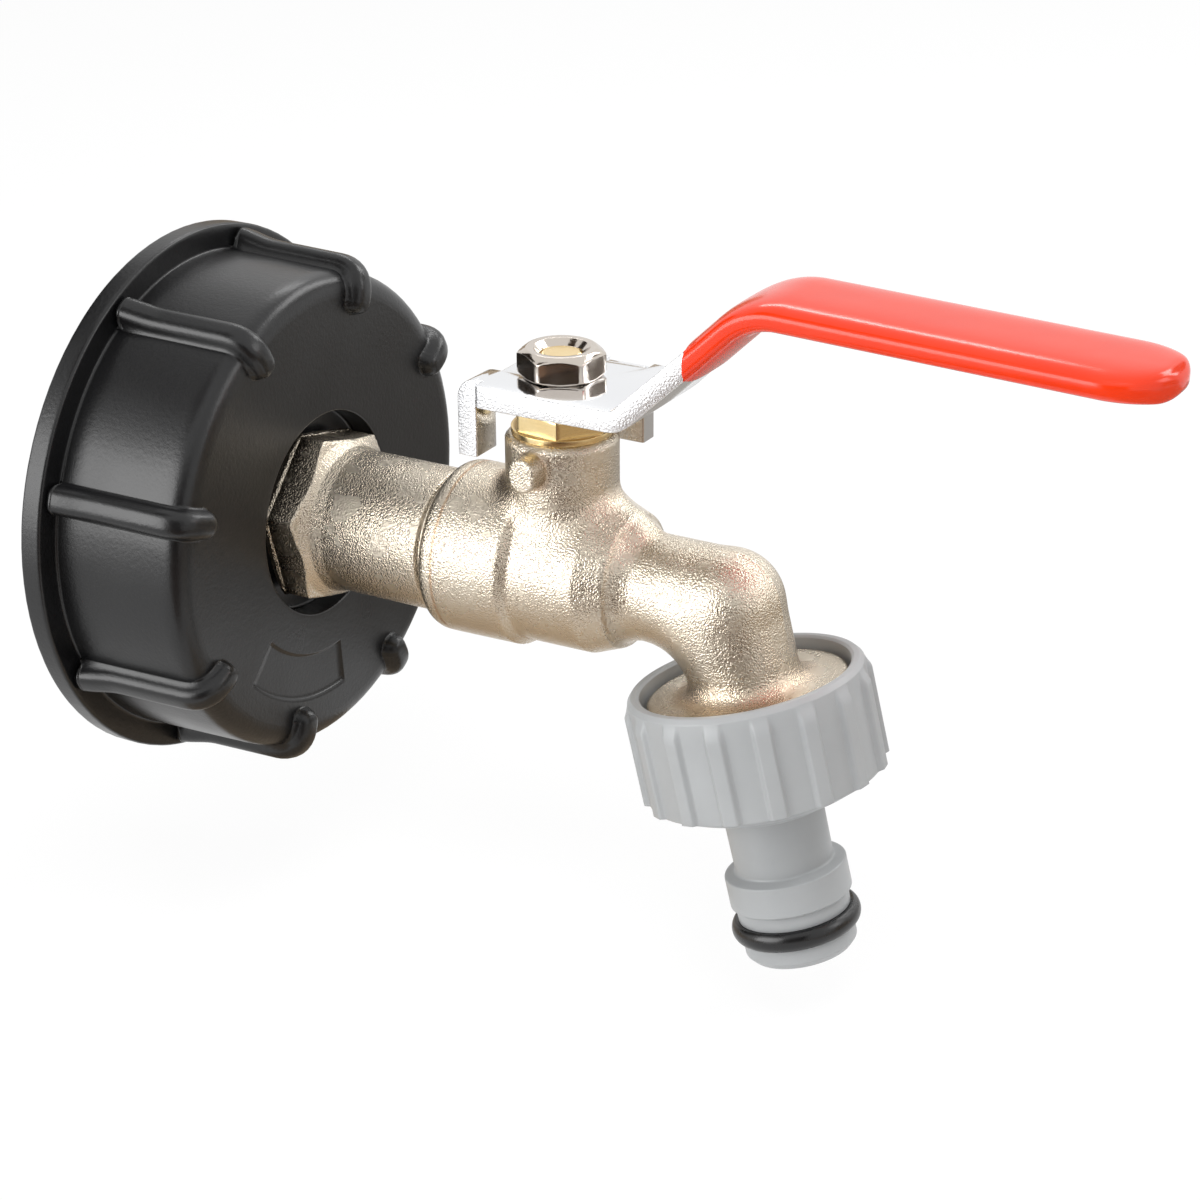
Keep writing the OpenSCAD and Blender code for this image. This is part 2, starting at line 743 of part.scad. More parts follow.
// Plan view of the lever from the rear edge to the rounded tip
module lever_plan(extra) {
    corner_r = 4;
    near_cut = 0.8;
    waist_w = hub_half_w - 0.3;
    tip_r = arm_half_w + extra;
    tip_x = lever_length - grip_wall - arm_half_w;
    polygon(concat(
        arc([corner_r - plate_back, hub_half_w - corner_r], corner_r, 180, 90, 6),
        [[0, hub_half_w], [bend_x + 2, waist_w], [grip_mouth_x, tip_r], [tip_x, tip_r],
            [tip_x, -tip_r], [grip_mouth_x, -tip_r], [bend_x + 2, -waist_w], [0, -hub_half_w],
            [near_cut - plate_back, -hub_half_w], [-plate_back, near_cut - hub_half_w]]));
    translate([tip_x, 0])
    circle(r = tip_r, $fn = 64);
}

// The bent strip without its stop tabs, grown on every side by extra
module lever_strip(extra) {
    intersection() {
        rotate([90, 0, 0])
        linear_extrude(4 * hub_half_w, center = true)
        strip_profile(lever_line(-hub_back - extra, lever_length + 5), lever_t / 2 + extra);
        linear_extrude(4 * crest_z)
        lever_plan(extra);
    }
}

// A stop tab: bends down from the edge of the plate, hanging along -Z at x = 0
module stop_tab(w) {
    linear_extrude(w)
    difference() {
        union() {
            square([lever_t, tab_drop - lever_t / 2]);
            translate([0, tab_drop - lever_t])
            square([2 * lever_t, lever_t]);
        }
        difference() {
            translate([-eps, tab_drop - lever_t])
            square([lever_t + eps, lever_t + eps]);
            translate([lever_t, tab_drop - lever_t])
            circle(r = lever_t, $fn = 48);
        }
    }
}

tab_start = stop_half_w + stop_gap;
plate_back = hub_back - lever_t - tab_relief;

// Room in the plate's far edge for the side tab's bend, with a small notch at both ends
module side_tab_room() {
    notch = 0.6;
    translate([tab_start - notch, side_tab_y, lever_z - 1])
    cube([side_tab_x - tab_start + 2 * notch, hub_half_w, lever_t + 2]);
}

module lever() {
    color(chrome)
    translate([stem_x, 0, 0])
    difference() {
        union() {
            difference() {
                lever_strip(0);
                side_tab_room();
            }
            translate([-hub_back, -tab_start, lever_top - tab_drop])
            rotate([90, 0, 0])
            stop_tab(tab_w);
            translate([tab_start, side_tab_y + lever_t, lever_top - tab_drop])
            rotate([90, 0, 0])
            rotate([0, -90, 0])
            translate([0, 0, tab_start - side_tab_x])
            stop_tab(side_tab_x - tab_start);
        }
        intersection() {
            cylinder(r = stem_r + run_gap, h = 3 * lever_z, $fn = 64);
            translate([-stem_flats / 2 - run_gap, -2 * stem_r, 0])
            cube([stem_flats + 2 * run_gap, 4 * stem_r, 3 * lever_z]);
        }
    }
}

// Half width of the grip at x: constant, then a half circle at the tip
function grip_half_w(x) = let (w = arm_half_w + grip_wall, past = x - (lever_length - w))
    past <= 0 ? w : sqrt(max(0.01, w * w - past * past));

// Half height of the grip at x: constant, then rounded over the last few millimetres
function grip_half_h(x) = let (h = lever_t / 2 + grip_wall, past = x - (lever_length - h))
    past <= 0 ? h : sqrt(max(0.01, h * h - past * past));

// One station's outline: a flat oval whose edges are rounded with its half height
function oval(w, h, n) = let (r = min(w, h))
    [for (k = [0 : n - 1]) let (a = 360 * (k + 0.5) / n)
        [(w - r) * sign(cos(a)) + r * cos(a), h * sin(a)]];

nose_start = lever_length - arm_half_w - grip_wall - 1;

// How far a point of the grip's section is pushed along it, per millimetre of height.
// At the mouth it makes the cut upright; it fades out behind it.
function mouth_slant(x) = tan(rise_angle) * max(0, 1 - (x - grip_mouth_x) / 5);

function grip_stations() = concat(
    [for (d = [0, 1.5, 4, 7])
        let (along = grip_start + d)
        [rise_x + along * cos(rise_angle), rise_z + along * sin(rise_angle), rise_angle]],
    [for (i = [0 : bend_steps]) upper_bend(i / bend_steps)],
    [for (i = [1 : 3]) grip_line(top_x + (nose_start - top_x) * i / 3)],
    [for (i = [1 : 10]) grip_line(nose_start + (lever_length - nose_start) * sin(9 * i))]);

module grip_outside() {
    n = 24;
    line = grip_stations();
    count = len(line);
    points = [
        for (i = [0 : count - 1])
            let (p = line[i], lip = i == 0 ? 0.4 : 0, slant = mouth_slant(p[0]))
            for (q = oval(grip_half_w(p[0]) - lip, grip_half_h(p[0]) - lip, n))
                [p[0] + q[1] * (slant * cos(p[2]) - sin(p[2])), q[0],
                    p[1] + q[1] * (slant * sin(p[2]) + cos(p[2]))]
    ];
    sides = [for (i = [0 : count - 2]) for (k = [0 : n - 1])
        let (a = n * i + k, b = n * i + (k + 1) % n) [a, a + n, b + n, b]];
    start = [for (k = [0 : n - 1]) k];
    end = [for (k = [n - 1 : -1 : 0]) n * (count - 1) + k];
    polyhedron(points = points, faces = concat(sides, [start, end]), convexity = 6);
}

module grip_sleeve() {
    color(red_vinyl)
    translate([stem_x, 0, 0])
    difference() {
        grip_outside();
        lever_strip(0.02);
    }
}

module lever_nut() {
    sink = 0.8;
    color(chrome)
    translate([stem_x, 0, lever_top])
    difference() {
        rotate([0, 0, nut_turn])
        hex_nut_blank(nut_af, nut_t, true, true);
        translate([0, 0, -1])
        cylinder(r = stem_thread_r + run_gap, h = nut_t + 2, $fn = 64);
        translate([0, 0, nut_t - sink])
        cylinder(r1 = stem_thread_r, r2 = stem_thread_r + sink + eps, h = sink + eps, $fn = 64);
    }
}

module connector_washer() {
    color(rubber)
    at_spout()
    translate([0, 0, washer_top])
    difference() {
        cylinder(r = hose_core_r - seat_gap, h = hose_washer_t - eps, $fn = 64);
        translate([0, 0, -1])
        cylinder(r = spout_bore_r + 1, h = hose_washer_t + 2, $fn = 64);
    }
}

module connector_outline() {
    chamfer = 0.7;
    polygon([[0, 0], [collar_r - chamfer, 0], [collar_r, chamfer], [collar_r, collar_length],
        [collar_r - 2.5, collar_length + 1.2], [stalk_r + 2, collar_length + 4],
        [stalk_r, collar_length + 5.2], [stalk_r, ring_start - 0.8],
        [lock_ring_r, ring_start + 0.8], [lock_ring_r, ring_start + ring_l - 1],
        [nose_r, ring_start + ring_l], [nose_r, nose_end - 2], [nose_r - 0.5, nose_end - 0.8],
        [nose_r - 1.7, nose_end], [0, nose_end]]);
}

module hose_connector() {
    hole_r = hose_thread_r + thread_gap;
    rib_margin = 2.2;
    color(grey_plastic)
    at_spout() {
        difference() {
            union() {
                rotate_extrude($fn = 96)
                connector_outline();
                for (k = [0 : collar_rib_count - 1])
                    rotate([0, 0, 360 / collar_rib_count * (k + 0.5)])
                    translate([collar_r - 1, -collar_rib_w / 2, rib_margin])
                    cube([1 + collar_rib_h, collar_rib_w, collar_length - 1.2 * rib_margin]);
            }
            translate([0, 0, -1])
            cylinder(r = mouth_r, h = mouth_depth + 1, $fn = 96);
            cylinder(r = hole_r, h = collar_floor, $fn = 96);
            cylinder(r = nipple_way_r, h = nose_end + 1, $fn = 64);
            translate([0, 0, o_ring_s - o_ring_cord_r - 0.1])
            difference() {
                cylinder(r = nose_r + 2, h = 2 * o_ring_cord_r + 0.2, $fn = 96);
                translate([0, 0, -1])
                cylinder(r = groove_r, h = 2 * o_ring_cord_r + 3, $fn = 96);
            }
        }
        translate([0, 0, foot_bottom + 0.9 + hose_thread_pitch / 2])
        helical_ridge(hole_r + 0.2, hose_core_r + thread_gap, 1.6, 0.3, hose_thread_pitch,
            (spout_thread_length - 2.6) / hose_thread_pitch, hose_steps, 0.4);
    }
}

module nipple_o_ring() {
    color(rubber)
    at_spout()
    translate([0, 0, o_ring_s])
    rotate_extrude($fn = 96)
    translate([o_ring_centre_r, 0])
    circle(r = o_ring_cord_r, $fn = 32);
}

tank_cap();
cap_gasket();
nipple_seal();
inlet_nipple();
thread_seal();
valve_body();
inlet_seat();
outlet_seat();
ball();
stem();
stem_thrust_washer();
stem_packing();
packing_follower();
gland_nut();
lever();
grip_sleeve();
lever_nut();
connector_washer();
hose_connector();
nipple_o_ring();
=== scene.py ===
"""Looks of the tank tap adapter: a ribbed black cap, a nickel-plated lever ball valve with a bent
spout, a red-gripped lever and a grey hose connector. Sizes in the sections are in millimetres, and
meshes are put in metres as they are made. +X is the flow, +Z the stem, -Y the photographed side.
"""

import math

import bmesh
import bpy
import numpy as np
from mathutils import Matrix, Vector


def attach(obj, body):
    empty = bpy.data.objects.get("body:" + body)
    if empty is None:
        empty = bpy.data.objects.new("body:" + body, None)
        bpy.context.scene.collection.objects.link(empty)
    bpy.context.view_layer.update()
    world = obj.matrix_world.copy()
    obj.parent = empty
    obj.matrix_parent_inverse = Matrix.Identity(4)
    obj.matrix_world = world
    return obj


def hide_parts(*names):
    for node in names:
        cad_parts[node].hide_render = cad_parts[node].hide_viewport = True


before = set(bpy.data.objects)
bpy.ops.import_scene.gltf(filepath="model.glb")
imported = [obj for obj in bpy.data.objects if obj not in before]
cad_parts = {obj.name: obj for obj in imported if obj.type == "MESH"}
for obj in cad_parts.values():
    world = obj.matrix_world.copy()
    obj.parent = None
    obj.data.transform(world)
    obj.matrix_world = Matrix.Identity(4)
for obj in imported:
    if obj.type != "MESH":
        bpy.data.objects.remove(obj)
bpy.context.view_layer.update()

# Tank cap: one moulding in black polypropylene, with eight grip ribs that run over the shoulder.
# A coarse buttress thread inside takes the tank's neck, and a central boss takes the end piece.


def mm(points):
    """Millimetres to metres."""
    return np.asarray(points, dtype=np.float64) * 0.001


def smooth(x, low, high):
    """0 below low, 1 above high, and a smooth S-shaped step between."""
    t = np.clip((x - low) / (high - low), 0.0, 1.0)
    return t * t * (3.0 - 2.0 * t)


def rounded(corners, steps=5):
    """Profile through corners (a, b, radius): each corner becomes an arc tangent to both its edges."""
    out = []
    count = len(corners)
    for i, (a, b, radius) in enumerate(corners):
        here = np.array([a, b], float)
        back = np.array(corners[i - 1][:2], float) - here
        ahead = np.array(corners[(i + 1) % count][:2], float) - here
        if radius <= 0 or i in (0, count - 1):
            out.append(here[None, :])
            continue
        back_len, ahead_len = np.linalg.norm(back), np.linalg.norm(ahead)
        back, ahead = back / back_len, ahead / ahead_len
        half = math.acos(float(np.clip(back @ ahead, -1, 1))) / 2
        reach = min(radius / math.tan(half), 0.49 * back_len, 0.49 * ahead_len)
        start, end = here + back * reach, here + ahead * reach
        t = np.linspace(0, 1, steps + 1)[:, None]
        # a quadratic curve through both tangent points stands in for the arc
        out.append((1 - t) ** 2 * start + 2 * t * (1 - t) * here + t**2 * end)
    return np.concatenate(out)


def dense(path, step):
    """The same polyline with points added so that no piece of it is longer than step."""
    out = [path[:1]]
    for p, q in zip(path[:-1], path[1:]):
        count = max(1, int(math.ceil(np.linalg.norm(q - p) / step)))
        out.append(p + (q - p) * (np.arange(1, count + 1) / count)[:, None])
    return np.concatenate(out)


def show(name, mesh, body, nodes, material):
    """One smooth-shaded piece from a finished mesh. It rides a body and stands for CAD nodes."""
    mesh.polygons.foreach_set("use_smooth", np.ones(len(mesh.polygons), bool))
    mesh.materials.clear()
    mesh.materials.append(material)
    piece = bpy.data.objects.new(name, mesh)
    bpy.context.scene.collection.objects.link(piece)
    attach(piece, body)
    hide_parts(*nodes)
    return piece


def grid_piece(name, points, body, nodes, material, closed=True):
    """One piece from a grid of points (rows, columns, 3) in mm, with a face between each four neighbours.
    The columns close into a ring, and so do the rows where closed is True."""
    rows, cols = points.shape[:2]
    i, j = np.meshgrid(np.arange(rows if closed else rows - 1), np.arange(cols), indexing="ij")
    i2, j2 = (i + 1) % rows, (j + 1) % cols
    faces = np.stack([i * cols + j, i * cols + j2, i2 * cols + j2, i2 * cols + j], -1)
    mesh = bpy.data.meshes.new(name)
    mesh.from_pydata(mm(points.reshape(-1, 3)), [], faces.reshape(-1, 4).tolist())
    work = bmesh.new()
    work.from_mesh(mesh)
    bmesh.ops.remove_doubles(work, verts=work.verts, dist=2e-7)
    bmesh.ops.dissolve_degenerate(work, edges=work.edges, dist=1e-8)
    bmesh.ops.recalc_face_normals(work, faces=work.faces)
    work.to_mesh(mesh)
    work.free()
    return show(name, mesh, body, nodes, material)


def about_flow(x, r, angle):
    """Points at distance x along the flow and radius r, at an angle from +Y towards +Z."""
    x, r, angle = np.broadcast_arrays(x, r, angle)
    return np.stack([x, r * np.cos(angle), r * np.sin(angle)], -1)


def linear(hex_colour):
    """An sRGB hex colour as linear RGBA."""
    c = np.array([int(hex_colour[i : i + 2], 16) / 255 for i in (1, 3, 5)])
    c = np.where(c <= 0.04045, c / 12.92, ((c + 0.055) / 1.055) ** 2.4)
    return (*c.tolist(), 1.0)


def add(tree, kind, settings=(), **sockets):
    """Add a node with its own settings, and inputs given by name (or i0, i1 by place): a value or link."""
    made = tree.nodes.new(kind)
    for key, value in dict(settings).items():
        setattr(made, key, value)
    for key, value in sockets.items():
        by_place = key[0] == "i" and key[1:].isdigit()
        plug = made.inputs[int(key[1:]) if by_place else key.replace("_", " ")]
        if isinstance(value, bpy.types.NodeSocket):
            tree.links.new(value, plug)
        else:
            plug.default_value = value
    return made


def new_finish(name):
    """An empty material with its tree, its shader and the object coordinates."""
    material = bpy.data.materials.new(name)
    material.use_nodes = True
    tree = material.node_tree
    shader = tree.nodes["Principled BSDF"]
    place = add(tree, "ShaderNodeTexCoord").outputs["Object"]
    return material, tree, shader, place


# Moulded black polypropylene: near-black, semi-matt, with a faint fine spark-erosion grain of
# 0.6 mm and slow shine changes where the wall drew in as it cooled.
polypropylene, tree, shader, place = new_finish("moulded_black_polypropylene")
grain = add(tree, "ShaderNodeTexNoise", Vector=place, Scale=1 / 0.0006, Detail=3.0, Roughness=0.6)
cloud = add(tree, "ShaderNodeTexNoise", Vector=place, Scale=1 / 0.012, Detail=2.0)
tint = add(tree, "ShaderNodeMix", {"data_type": "RGBA"}, Factor=cloud.outputs["Fac"],
           i6=linear("#0B0B0C"), i7=linear("#121213"))
shine = add(tree, "ShaderNodeMapRange", Value=cloud.outputs["Fac"], From_Min=0.3, From_Max=0.7,
            To_Min=0.27, To_Max=0.35)
bump = add(tree, "ShaderNodeBump", Strength=0.3, Distance=0.00011, Height=grain.outputs["Fac"])
tree.links.new(tint.outputs[2], shader.inputs["Base Color"])
tree.links.new(shine.outputs["Result"], shader.inputs["Roughness"])
tree.links.new(bump.outputs["Normal"], shader.inputs["Normal"])
shader.inputs["IOR"].default_value = 1.49

cap_length, cap_r, flange_r, flange_t, shoulder = 24.4, 35.8, 39.8, 3.3, 3.4
rim_r, recess_r, recess_floor = 31.6, 15.2, 20.3
first_rib, rib_height, rib_half, rib_tip_r = 73.5, 2.3, 2.2, 29.3
panel_start, panel_end, panel_inner_r, panel_outer_r, panel_depth = -136.0, -85.0, 21.3, 28.2, 0.35

# the columns lie close together across each of the eight ribs and at the sunk panel's two ends
sector = np.concatenate([np.linspace(-22.5, -7, 5)[:-1], np.linspace(-6.4, 6.4, 33),
                         np.linspace(7, 22.5, 5)[:-1]])
rib_columns = (sector[None, :] + np.arange(8)[:, None] * 45.0).ravel() + first_rib
panel_columns = (np.array([[panel_start], [panel_end]]) + np.linspace(-0.5, 0.5, 5)).ravel()
columns = np.unique(np.round(np.concatenate([rib_columns, panel_columns]) % 360, 3))
columns = np.radians(columns)[None, :]

# outside: from the rim's rear edge, over the flange, along the wall, round the shoulder, to the recess
wall_rows = dense(rounded([
    (0.0, rim_r, 0), (0.0, flange_r, 0.5), (flange_t, flange_r, 0.6), (flange_t, cap_r + 0.2, 0.5),
    (cap_length, cap_r - 0.35, shoulder), (cap_length, recess_r, 0.4),
    (recess_floor, recess_r, 0)], 9), 0.7)
tangent = np.gradient(wall_rows, axis=0)
tangent /= np.linalg.norm(tangent, axis=1, keepdims=True)
along = np.concatenate([[0], np.cumsum(np.linalg.norm(np.diff(wall_rows, axis=0), axis=1))])
rib_start = along[np.argmin(np.hypot(wall_rows[:, 0] - flange_t, wall_rows[:, 1] - cap_r - 0.5))]
on_face = (wall_rows[:, 0] > cap_length - 0.01) & (wall_rows[:, 1] < cap_r - shoulder)
rib_end = np.interp(-rib_tip_r, -wall_rows[on_face][:, 1], along[on_face])
# more rows lie across the ribs' rounded tips and at the panel's two curved edges
inset = np.array([0, 0.2, 0.4])
panel_radii = np.concatenate([panel_outer_r - inset, panel_inner_r + inset])
tip_rows = np.arange(rib_end - 3.2, rib_end + 0.4, 0.17)
panel_rows = along[on_face][0] + (wall_rows[on_face][0, 1] - panel_radii)
rows = np.unique(np.round(np.concatenate([along, tip_rows, panel_rows]), 3))[:, None]
wall_x, wall_r = np.interp(rows, along, wall_rows[:, 0]), np.interp(rows, along, wall_rows[:, 1])
normal_x, normal_r = -np.interp(rows, along, tangent[:, 1]), np.interp(rows, along, tangent[:, 0])
turned = (columns - math.radians(first_rib) + math.pi / 8) % (math.pi / 4) - math.pi / 8
past_tip = np.maximum(0.0, rows - (rib_end - rib_half))
from_line = np.clip(np.hypot(wall_r * np.sin(turned), past_tip) / rib_half, 0, 1)
# a rib's section is a flat-topped oval, it starts at the flange and is highest there
on_rib = (from_line < 1) & (rows > rib_start + 0.05)
lift = on_rib * (rib_height * (1 - from_line**3.2) ** 0.6 + 0.9 * smooth(rows, rib_start + 7.0, rib_start))
panel_turn = (columns - math.radians(panel_start)) % (2 * math.pi)
panel_span = math.radians(panel_end - panel_start)
in_panel = smooth(panel_turn, 0.0, 0.008) * smooth(panel_turn, panel_span, panel_span - 0.008)
in_panel = in_panel * smooth(wall_r, panel_inner_r, panel_inner_r + 0.3)
in_panel = in_panel * smooth(wall_r, panel_outer_r, panel_outer_r - 0.3) * (wall_x > cap_length - 0.5)
lift = lift - panel_depth * in_panel
outside = about_flow(wall_x + normal_x * lift, wall_r + normal_r * lift, columns)

# inside: recess floor, hole, boss, end wall, then the threaded wall back to the rim
hole_r, boss_r, boss_end, end_wall = 10.6, 14.4, 9.0, 18.0
root_r, mouth_r, mouth_length, thread_end = 30.2, 30.7, 2.4, 15.5
tank_pitch, first_ridge, ridge_height, ridge_turns = 6.0, 4.6, 2.4, 1.4
inner = dense(rounded([
    (recess_floor, recess_r, 0), (recess_floor - 0.1, recess_r - 0.4, 0), (recess_floor - 0.1, hole_r, 0.1),
    (boss_end, hole_r, 0.4), (boss_end, boss_r, 0.5), (end_wall, boss_r, 0.4), (end_wall, root_r, 0.4),
    (thread_end + 0.1, root_r, 0)], 3), 3.0)
threaded = np.stack([np.linspace(thread_end, mouth_length + 0.1, 46), np.full(46, root_r)], 1)
mouth = np.array([(mouth_length, root_r), (mouth_length - 0.05, mouth_r), (0.5, mouth_r),
                  (0.0, rim_r - 0.5), (0.0, rim_r)])
inner = np.concatenate([inner, threaded, mouth])
ix, ir = inner[:, :1], inner[:, 1:]
climb, half_pitch = tank_pitch * columns / (2 * math.pi), tank_pitch / 2
from_ridge = (ix - first_ridge - climb + half_pitch) % tank_pitch - half_pitch
turns_in = (ix - from_ridge - first_ridge) / tank_pitch
fade = smooth(turns_in, -0.02, 0.12) * smooth(turns_in, ridge_turns + 0.02, ridge_turns - 0.12)
in_thread = (ix > mouth_length) & (ix < thread_end) & (ir > root_r - 0.2)
ridge = ridge_height * smooth(np.abs(from_ridge), 1.9, 0.7) * fade * in_thread
inside = about_flow(ix, ir - ridge, columns)
grid_piece("tank_cap_moulding", np.concatenate([outside, inside[1:-1]]), "valve", ["tank_cap"],
           polypropylene)

# Rubber seals: flat black rings, punched from sheet, under the hexagon, in the cap and in the collar.
# They keep their solids' shapes, because they are flat rings with square edges.

# EPDM rubber sheet: charcoal, matt, with a fine dusty bloom of 1 mm clouds.
rubber, tree, shader, place = new_finish("punched_epdm_rubber")
bloom = add(tree, "ShaderNodeTexNoise", Vector=place, Scale=1 / 0.001, Detail=4.0)
tint = add(tree, "ShaderNodeMix", {"data_type": "RGBA"}, Factor=bloom.outputs["Fac"],
           i6=linear("#1A1A1A"), i7=linear("#2C2C2B"))
bump = add(tree, "ShaderNodeBump", Strength=0.15, Distance=0.00005, Height=bloom.outputs["Fac"])
tree.links.new(tint.outputs[2], shader.inputs["Base Color"])
tree.links.new(bump.outputs["Normal"], shader.inputs["Normal"])
shader.inputs["Roughness"].default_value = 0.7
shader.inputs["IOR"].default_value = 1.5


def dress(node, material):
    """Give its finish to a CAD node that is shown as it is."""
    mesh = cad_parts[node].data
    mesh.materials.clear()
    mesh.materials.append(material)


for node in ("cap_gasket", "nipple_seal", "connector_washer"):
    dress(node, rubber)

# Inlet end piece: forged in brass, threaded at both ends and nickel-plated. The hexagon's corners are
# chamfered at the back, and in front a hollow flare leads from its six corners into the round tube.

# Nickel plate on forged and turned brass: a warm champagne silver over the pebbled skin that the
# blasted forging has, a quarter of a millimetre across, darker and coppery in the concave fillets,
# with painted shade along the fine turned groove near the inlet end.


def nickel_finish(name, pebble, rough_low, rough_high):
    """Nickel plate whose pebbling and roughness are set for a forged or a turned face."""
    material, tree, shader, place = new_finish(name)
    cloud = add(tree, "ShaderNodeTexNoise", Vector=place, Scale=1 / 0.005, Detail=3.0)
    tint = add(tree, "ShaderNodeMix", {"data_type": "RGBA"}, Factor=cloud.outputs["Fac"],
               i6=linear("#CDC1AE"), i7=linear("#D9CFBF"))
    # the hollow attribute makes the concave fillets darker and coppery, and paints the shade of the turned
    # groove near the inlet end as a dark line
    hollow = add(tree, "ShaderNodeAttribute", {"attribute_name": "hollow"})
    fillet_tint_and_groove_shade = add(tree, "ShaderNodeMix", {"data_type": "RGBA"}, Factor=hollow.outputs["Fac"],
               i6=tint.outputs[2], i7=linear("#BFA183"))
    shine = add(tree, "ShaderNodeMapRange", Value=cloud.outputs["Fac"], From_Min=0.3, From_Max=0.7,
                To_Min=rough_low, To_Max=rough_high)
    dents = add(tree, "ShaderNodeTexNoise", Vector=place, Scale=1 / 0.00026, Detail=1.0, Roughness=0.5)
    dimple = add(tree, "ShaderNodeBump", Strength=pebble, Distance=0.0002, Height=dents.outputs["Fac"])
    swell = add(tree, "ShaderNodeTexNoise", Vector=place, Scale=1 / 0.004, Detail=1.0)
    bump = add(tree, "ShaderNodeBump", Strength=0.3 * pebble, Distance=0.00016, Height=swell.outputs["Fac"],
               Normal=dimple.outputs["Normal"])
    tree.links.new(fillet_tint_and_groove_shade.outputs[2], shader.inputs["Base Color"])
    tree.links.new(shine.outputs["Result"], shader.inputs["Roughness"])
    tree.links.new(bump.outputs["Normal"], shader.inputs["Normal"])
    shader.inputs["Metallic"].default_value = 1.0
    return material


turned_nickel = nickel_finish("nickel_plate_on_turned_brass", 0.1, 0.16, 0.24)
forged_nickel = nickel_finish("nickel_plate_on_forged_brass", 0.8, 0.23, 0.3)


def hexagon_radius(angle, across, corner, phase, soft=0.25):
    """Distance from the middle to a hexagon of the given width across flats, with its corners softened:
    the plain distance is half the width over the cosine of the angle to the nearest flat's middle,
    and a smooth minimum with the corner radius rounds it off."""
    turn = (angle - phase) % (math.pi / 3) - math.pi / 6
    flat = across / 2 / np.cos(turn)
    gap = np.clip(0.5 + 0.5 * (corner - flat) / soft, 0, 1)
    return corner * (1 - gap) + flat * gap - soft * gap * (1 - gap)


def hexagon_columns(turn, near, between):
    """Angles round a hexagon that is turned by some degrees: eight steps on each side of a corner, within
    near degrees of it, and a number of wider steps between."""
    sector = np.concatenate([np.linspace(0, near, 8, endpoint=False),
                             np.linspace(near, 60 - near, between, endpoint=False),
                             np.linspace(60 - near, 60, 8, endpoint=False)])
    return np.radians((sector + np.arange(6)[:, None] * 60.0).ravel() + turn)[None, :]


end_back, end_front, inlet_thread_r, body_thread_r = 9.6, 56.8, 10.48, 9.4
hex_back, hex_front, hex_across, hex_corner, hex_turn = 21.6, 26.8, 23.2, 13.32, 46.5
tube_r, tube_end, bore_r = 10.4, 47.1, 7.25
columns = hexagon_columns(hex_turn, 5, 11)
profile = dense(rounded([
    (end_back, 9.0, 0), (end_back, 9.5, 0.1), (end_back + 1.0, inlet_thread_r, 0.2),
    (hex_back, inlet_thread_r, 0.1), (hex_back, 11.25, 0.1), (hex_back + 0.9, 13.3, 0.3),
    (hex_back + 1.5, 14.2, 0.2), (hex_front - 0.1, 14.2, 0.1), (hex_front + 0.15, 13.3, 0.3),
    (hex_front + 0.75, 11.9, 0.8), (hex_front + 1.9, 10.75, 0.9), (hex_front + 3.6, tube_r, 1.2),
    (tube_end - 0.9, tube_r, 0.2), (tube_end - 0.5, tube_r - 0.5, 0.1), (tube_end, tube_r - 0.5, 0.1),
    (tube_end, body_thread_r, 0.1), (end_front, body_thread_r, 0.3), (end_front, bore_r, 0.3),
    (end_back, bore_r, 0.3), (end_back, 9.0, 0)], 5)[:-1], 0.6)
px, pr = profile[:, :1], profile[:, 1:]
on_hexagon = (px > hex_back - 0.01) & (px < hex_front + 4.0) & (pr > 11.0)
hexed = hexagon_radius(columns, hex_across, hex_corner, math.radians(hex_turn))
# a thin rolled lip stands out at the back edge of the flats
hexed = hexed + 0.3 * smooth(px, hex_back + 1.5, hex_back + 1.1)
radius = np.where(on_hexagon, np.minimum(pr, hexed), pr)
grid_piece("inlet_end_piece", about_flow(px, radius, columns), "valve", ["inlet_nipple"],
           forged_nickel)

# PTFE ring between the end piece and the body: a thin dark line where the ring and the hardened
# thread glue fill the joint.

# Cured anaerobic thread sealant on a PTFE ring: near-black brown, slightly glossy.
sealant, tree, shader, place = new_finish("cured_thread_sealant")
lumps = add(tree, "ShaderNodeTexNoise", Vector=place, Scale=1 / 0.0012, Detail=2.0)
tint = add(tree, "ShaderNodeMix", {"data_type": "RGBA"}, Factor=lumps.outputs["Fac"],
           i6=linear("#221D18"), i7=linear("#3A322A"))
tree.links.new(tint.outputs[2], shader.inputs["Base Color"])
shader.inputs["Roughness"].default_value = 0.45
dress("thread_seal", sealant)

# Valve body: one hot forging in brass, blasted and nickel-plated, with its inlet ring turned. The
# neck for the stem, two stop bosses, the run and the bent leg of the spout blend into it.

stem_x, spout_tilt = 64.6, math.radians(13.9)
corner = np.array([90.8, 0.0, -0.3])
leg = np.array([math.sin(spout_tilt), 0.0, -math.cos(spout_tilt)])
rim = corner + 10.5 * leg
inward = np.array([-math.cos(spout_tilt / 2 + math.pi / 4), 0.0, -math.sin(spout_tilt / 2 + math.pi / 4)])
neck_r, neck_top, boss_z, stop_r, stop_reach = 7.6, 19.85, 17.0, 1.8, 11.0
run_r, leg_r, disc_r, disc_top, disc_end = 7.65, 7.75, 13.9, 12.4, 13.7
socket_r, chamber_r, chamber_end, run_bore_r, leg_bore_r = 9.46, 8.3, 72.4, 5.8, 5.5
step_r, step_top, stem_hole_r, packing_floor, packing_r = 5.2, 10.35, 4.05, 12.75, 6.0


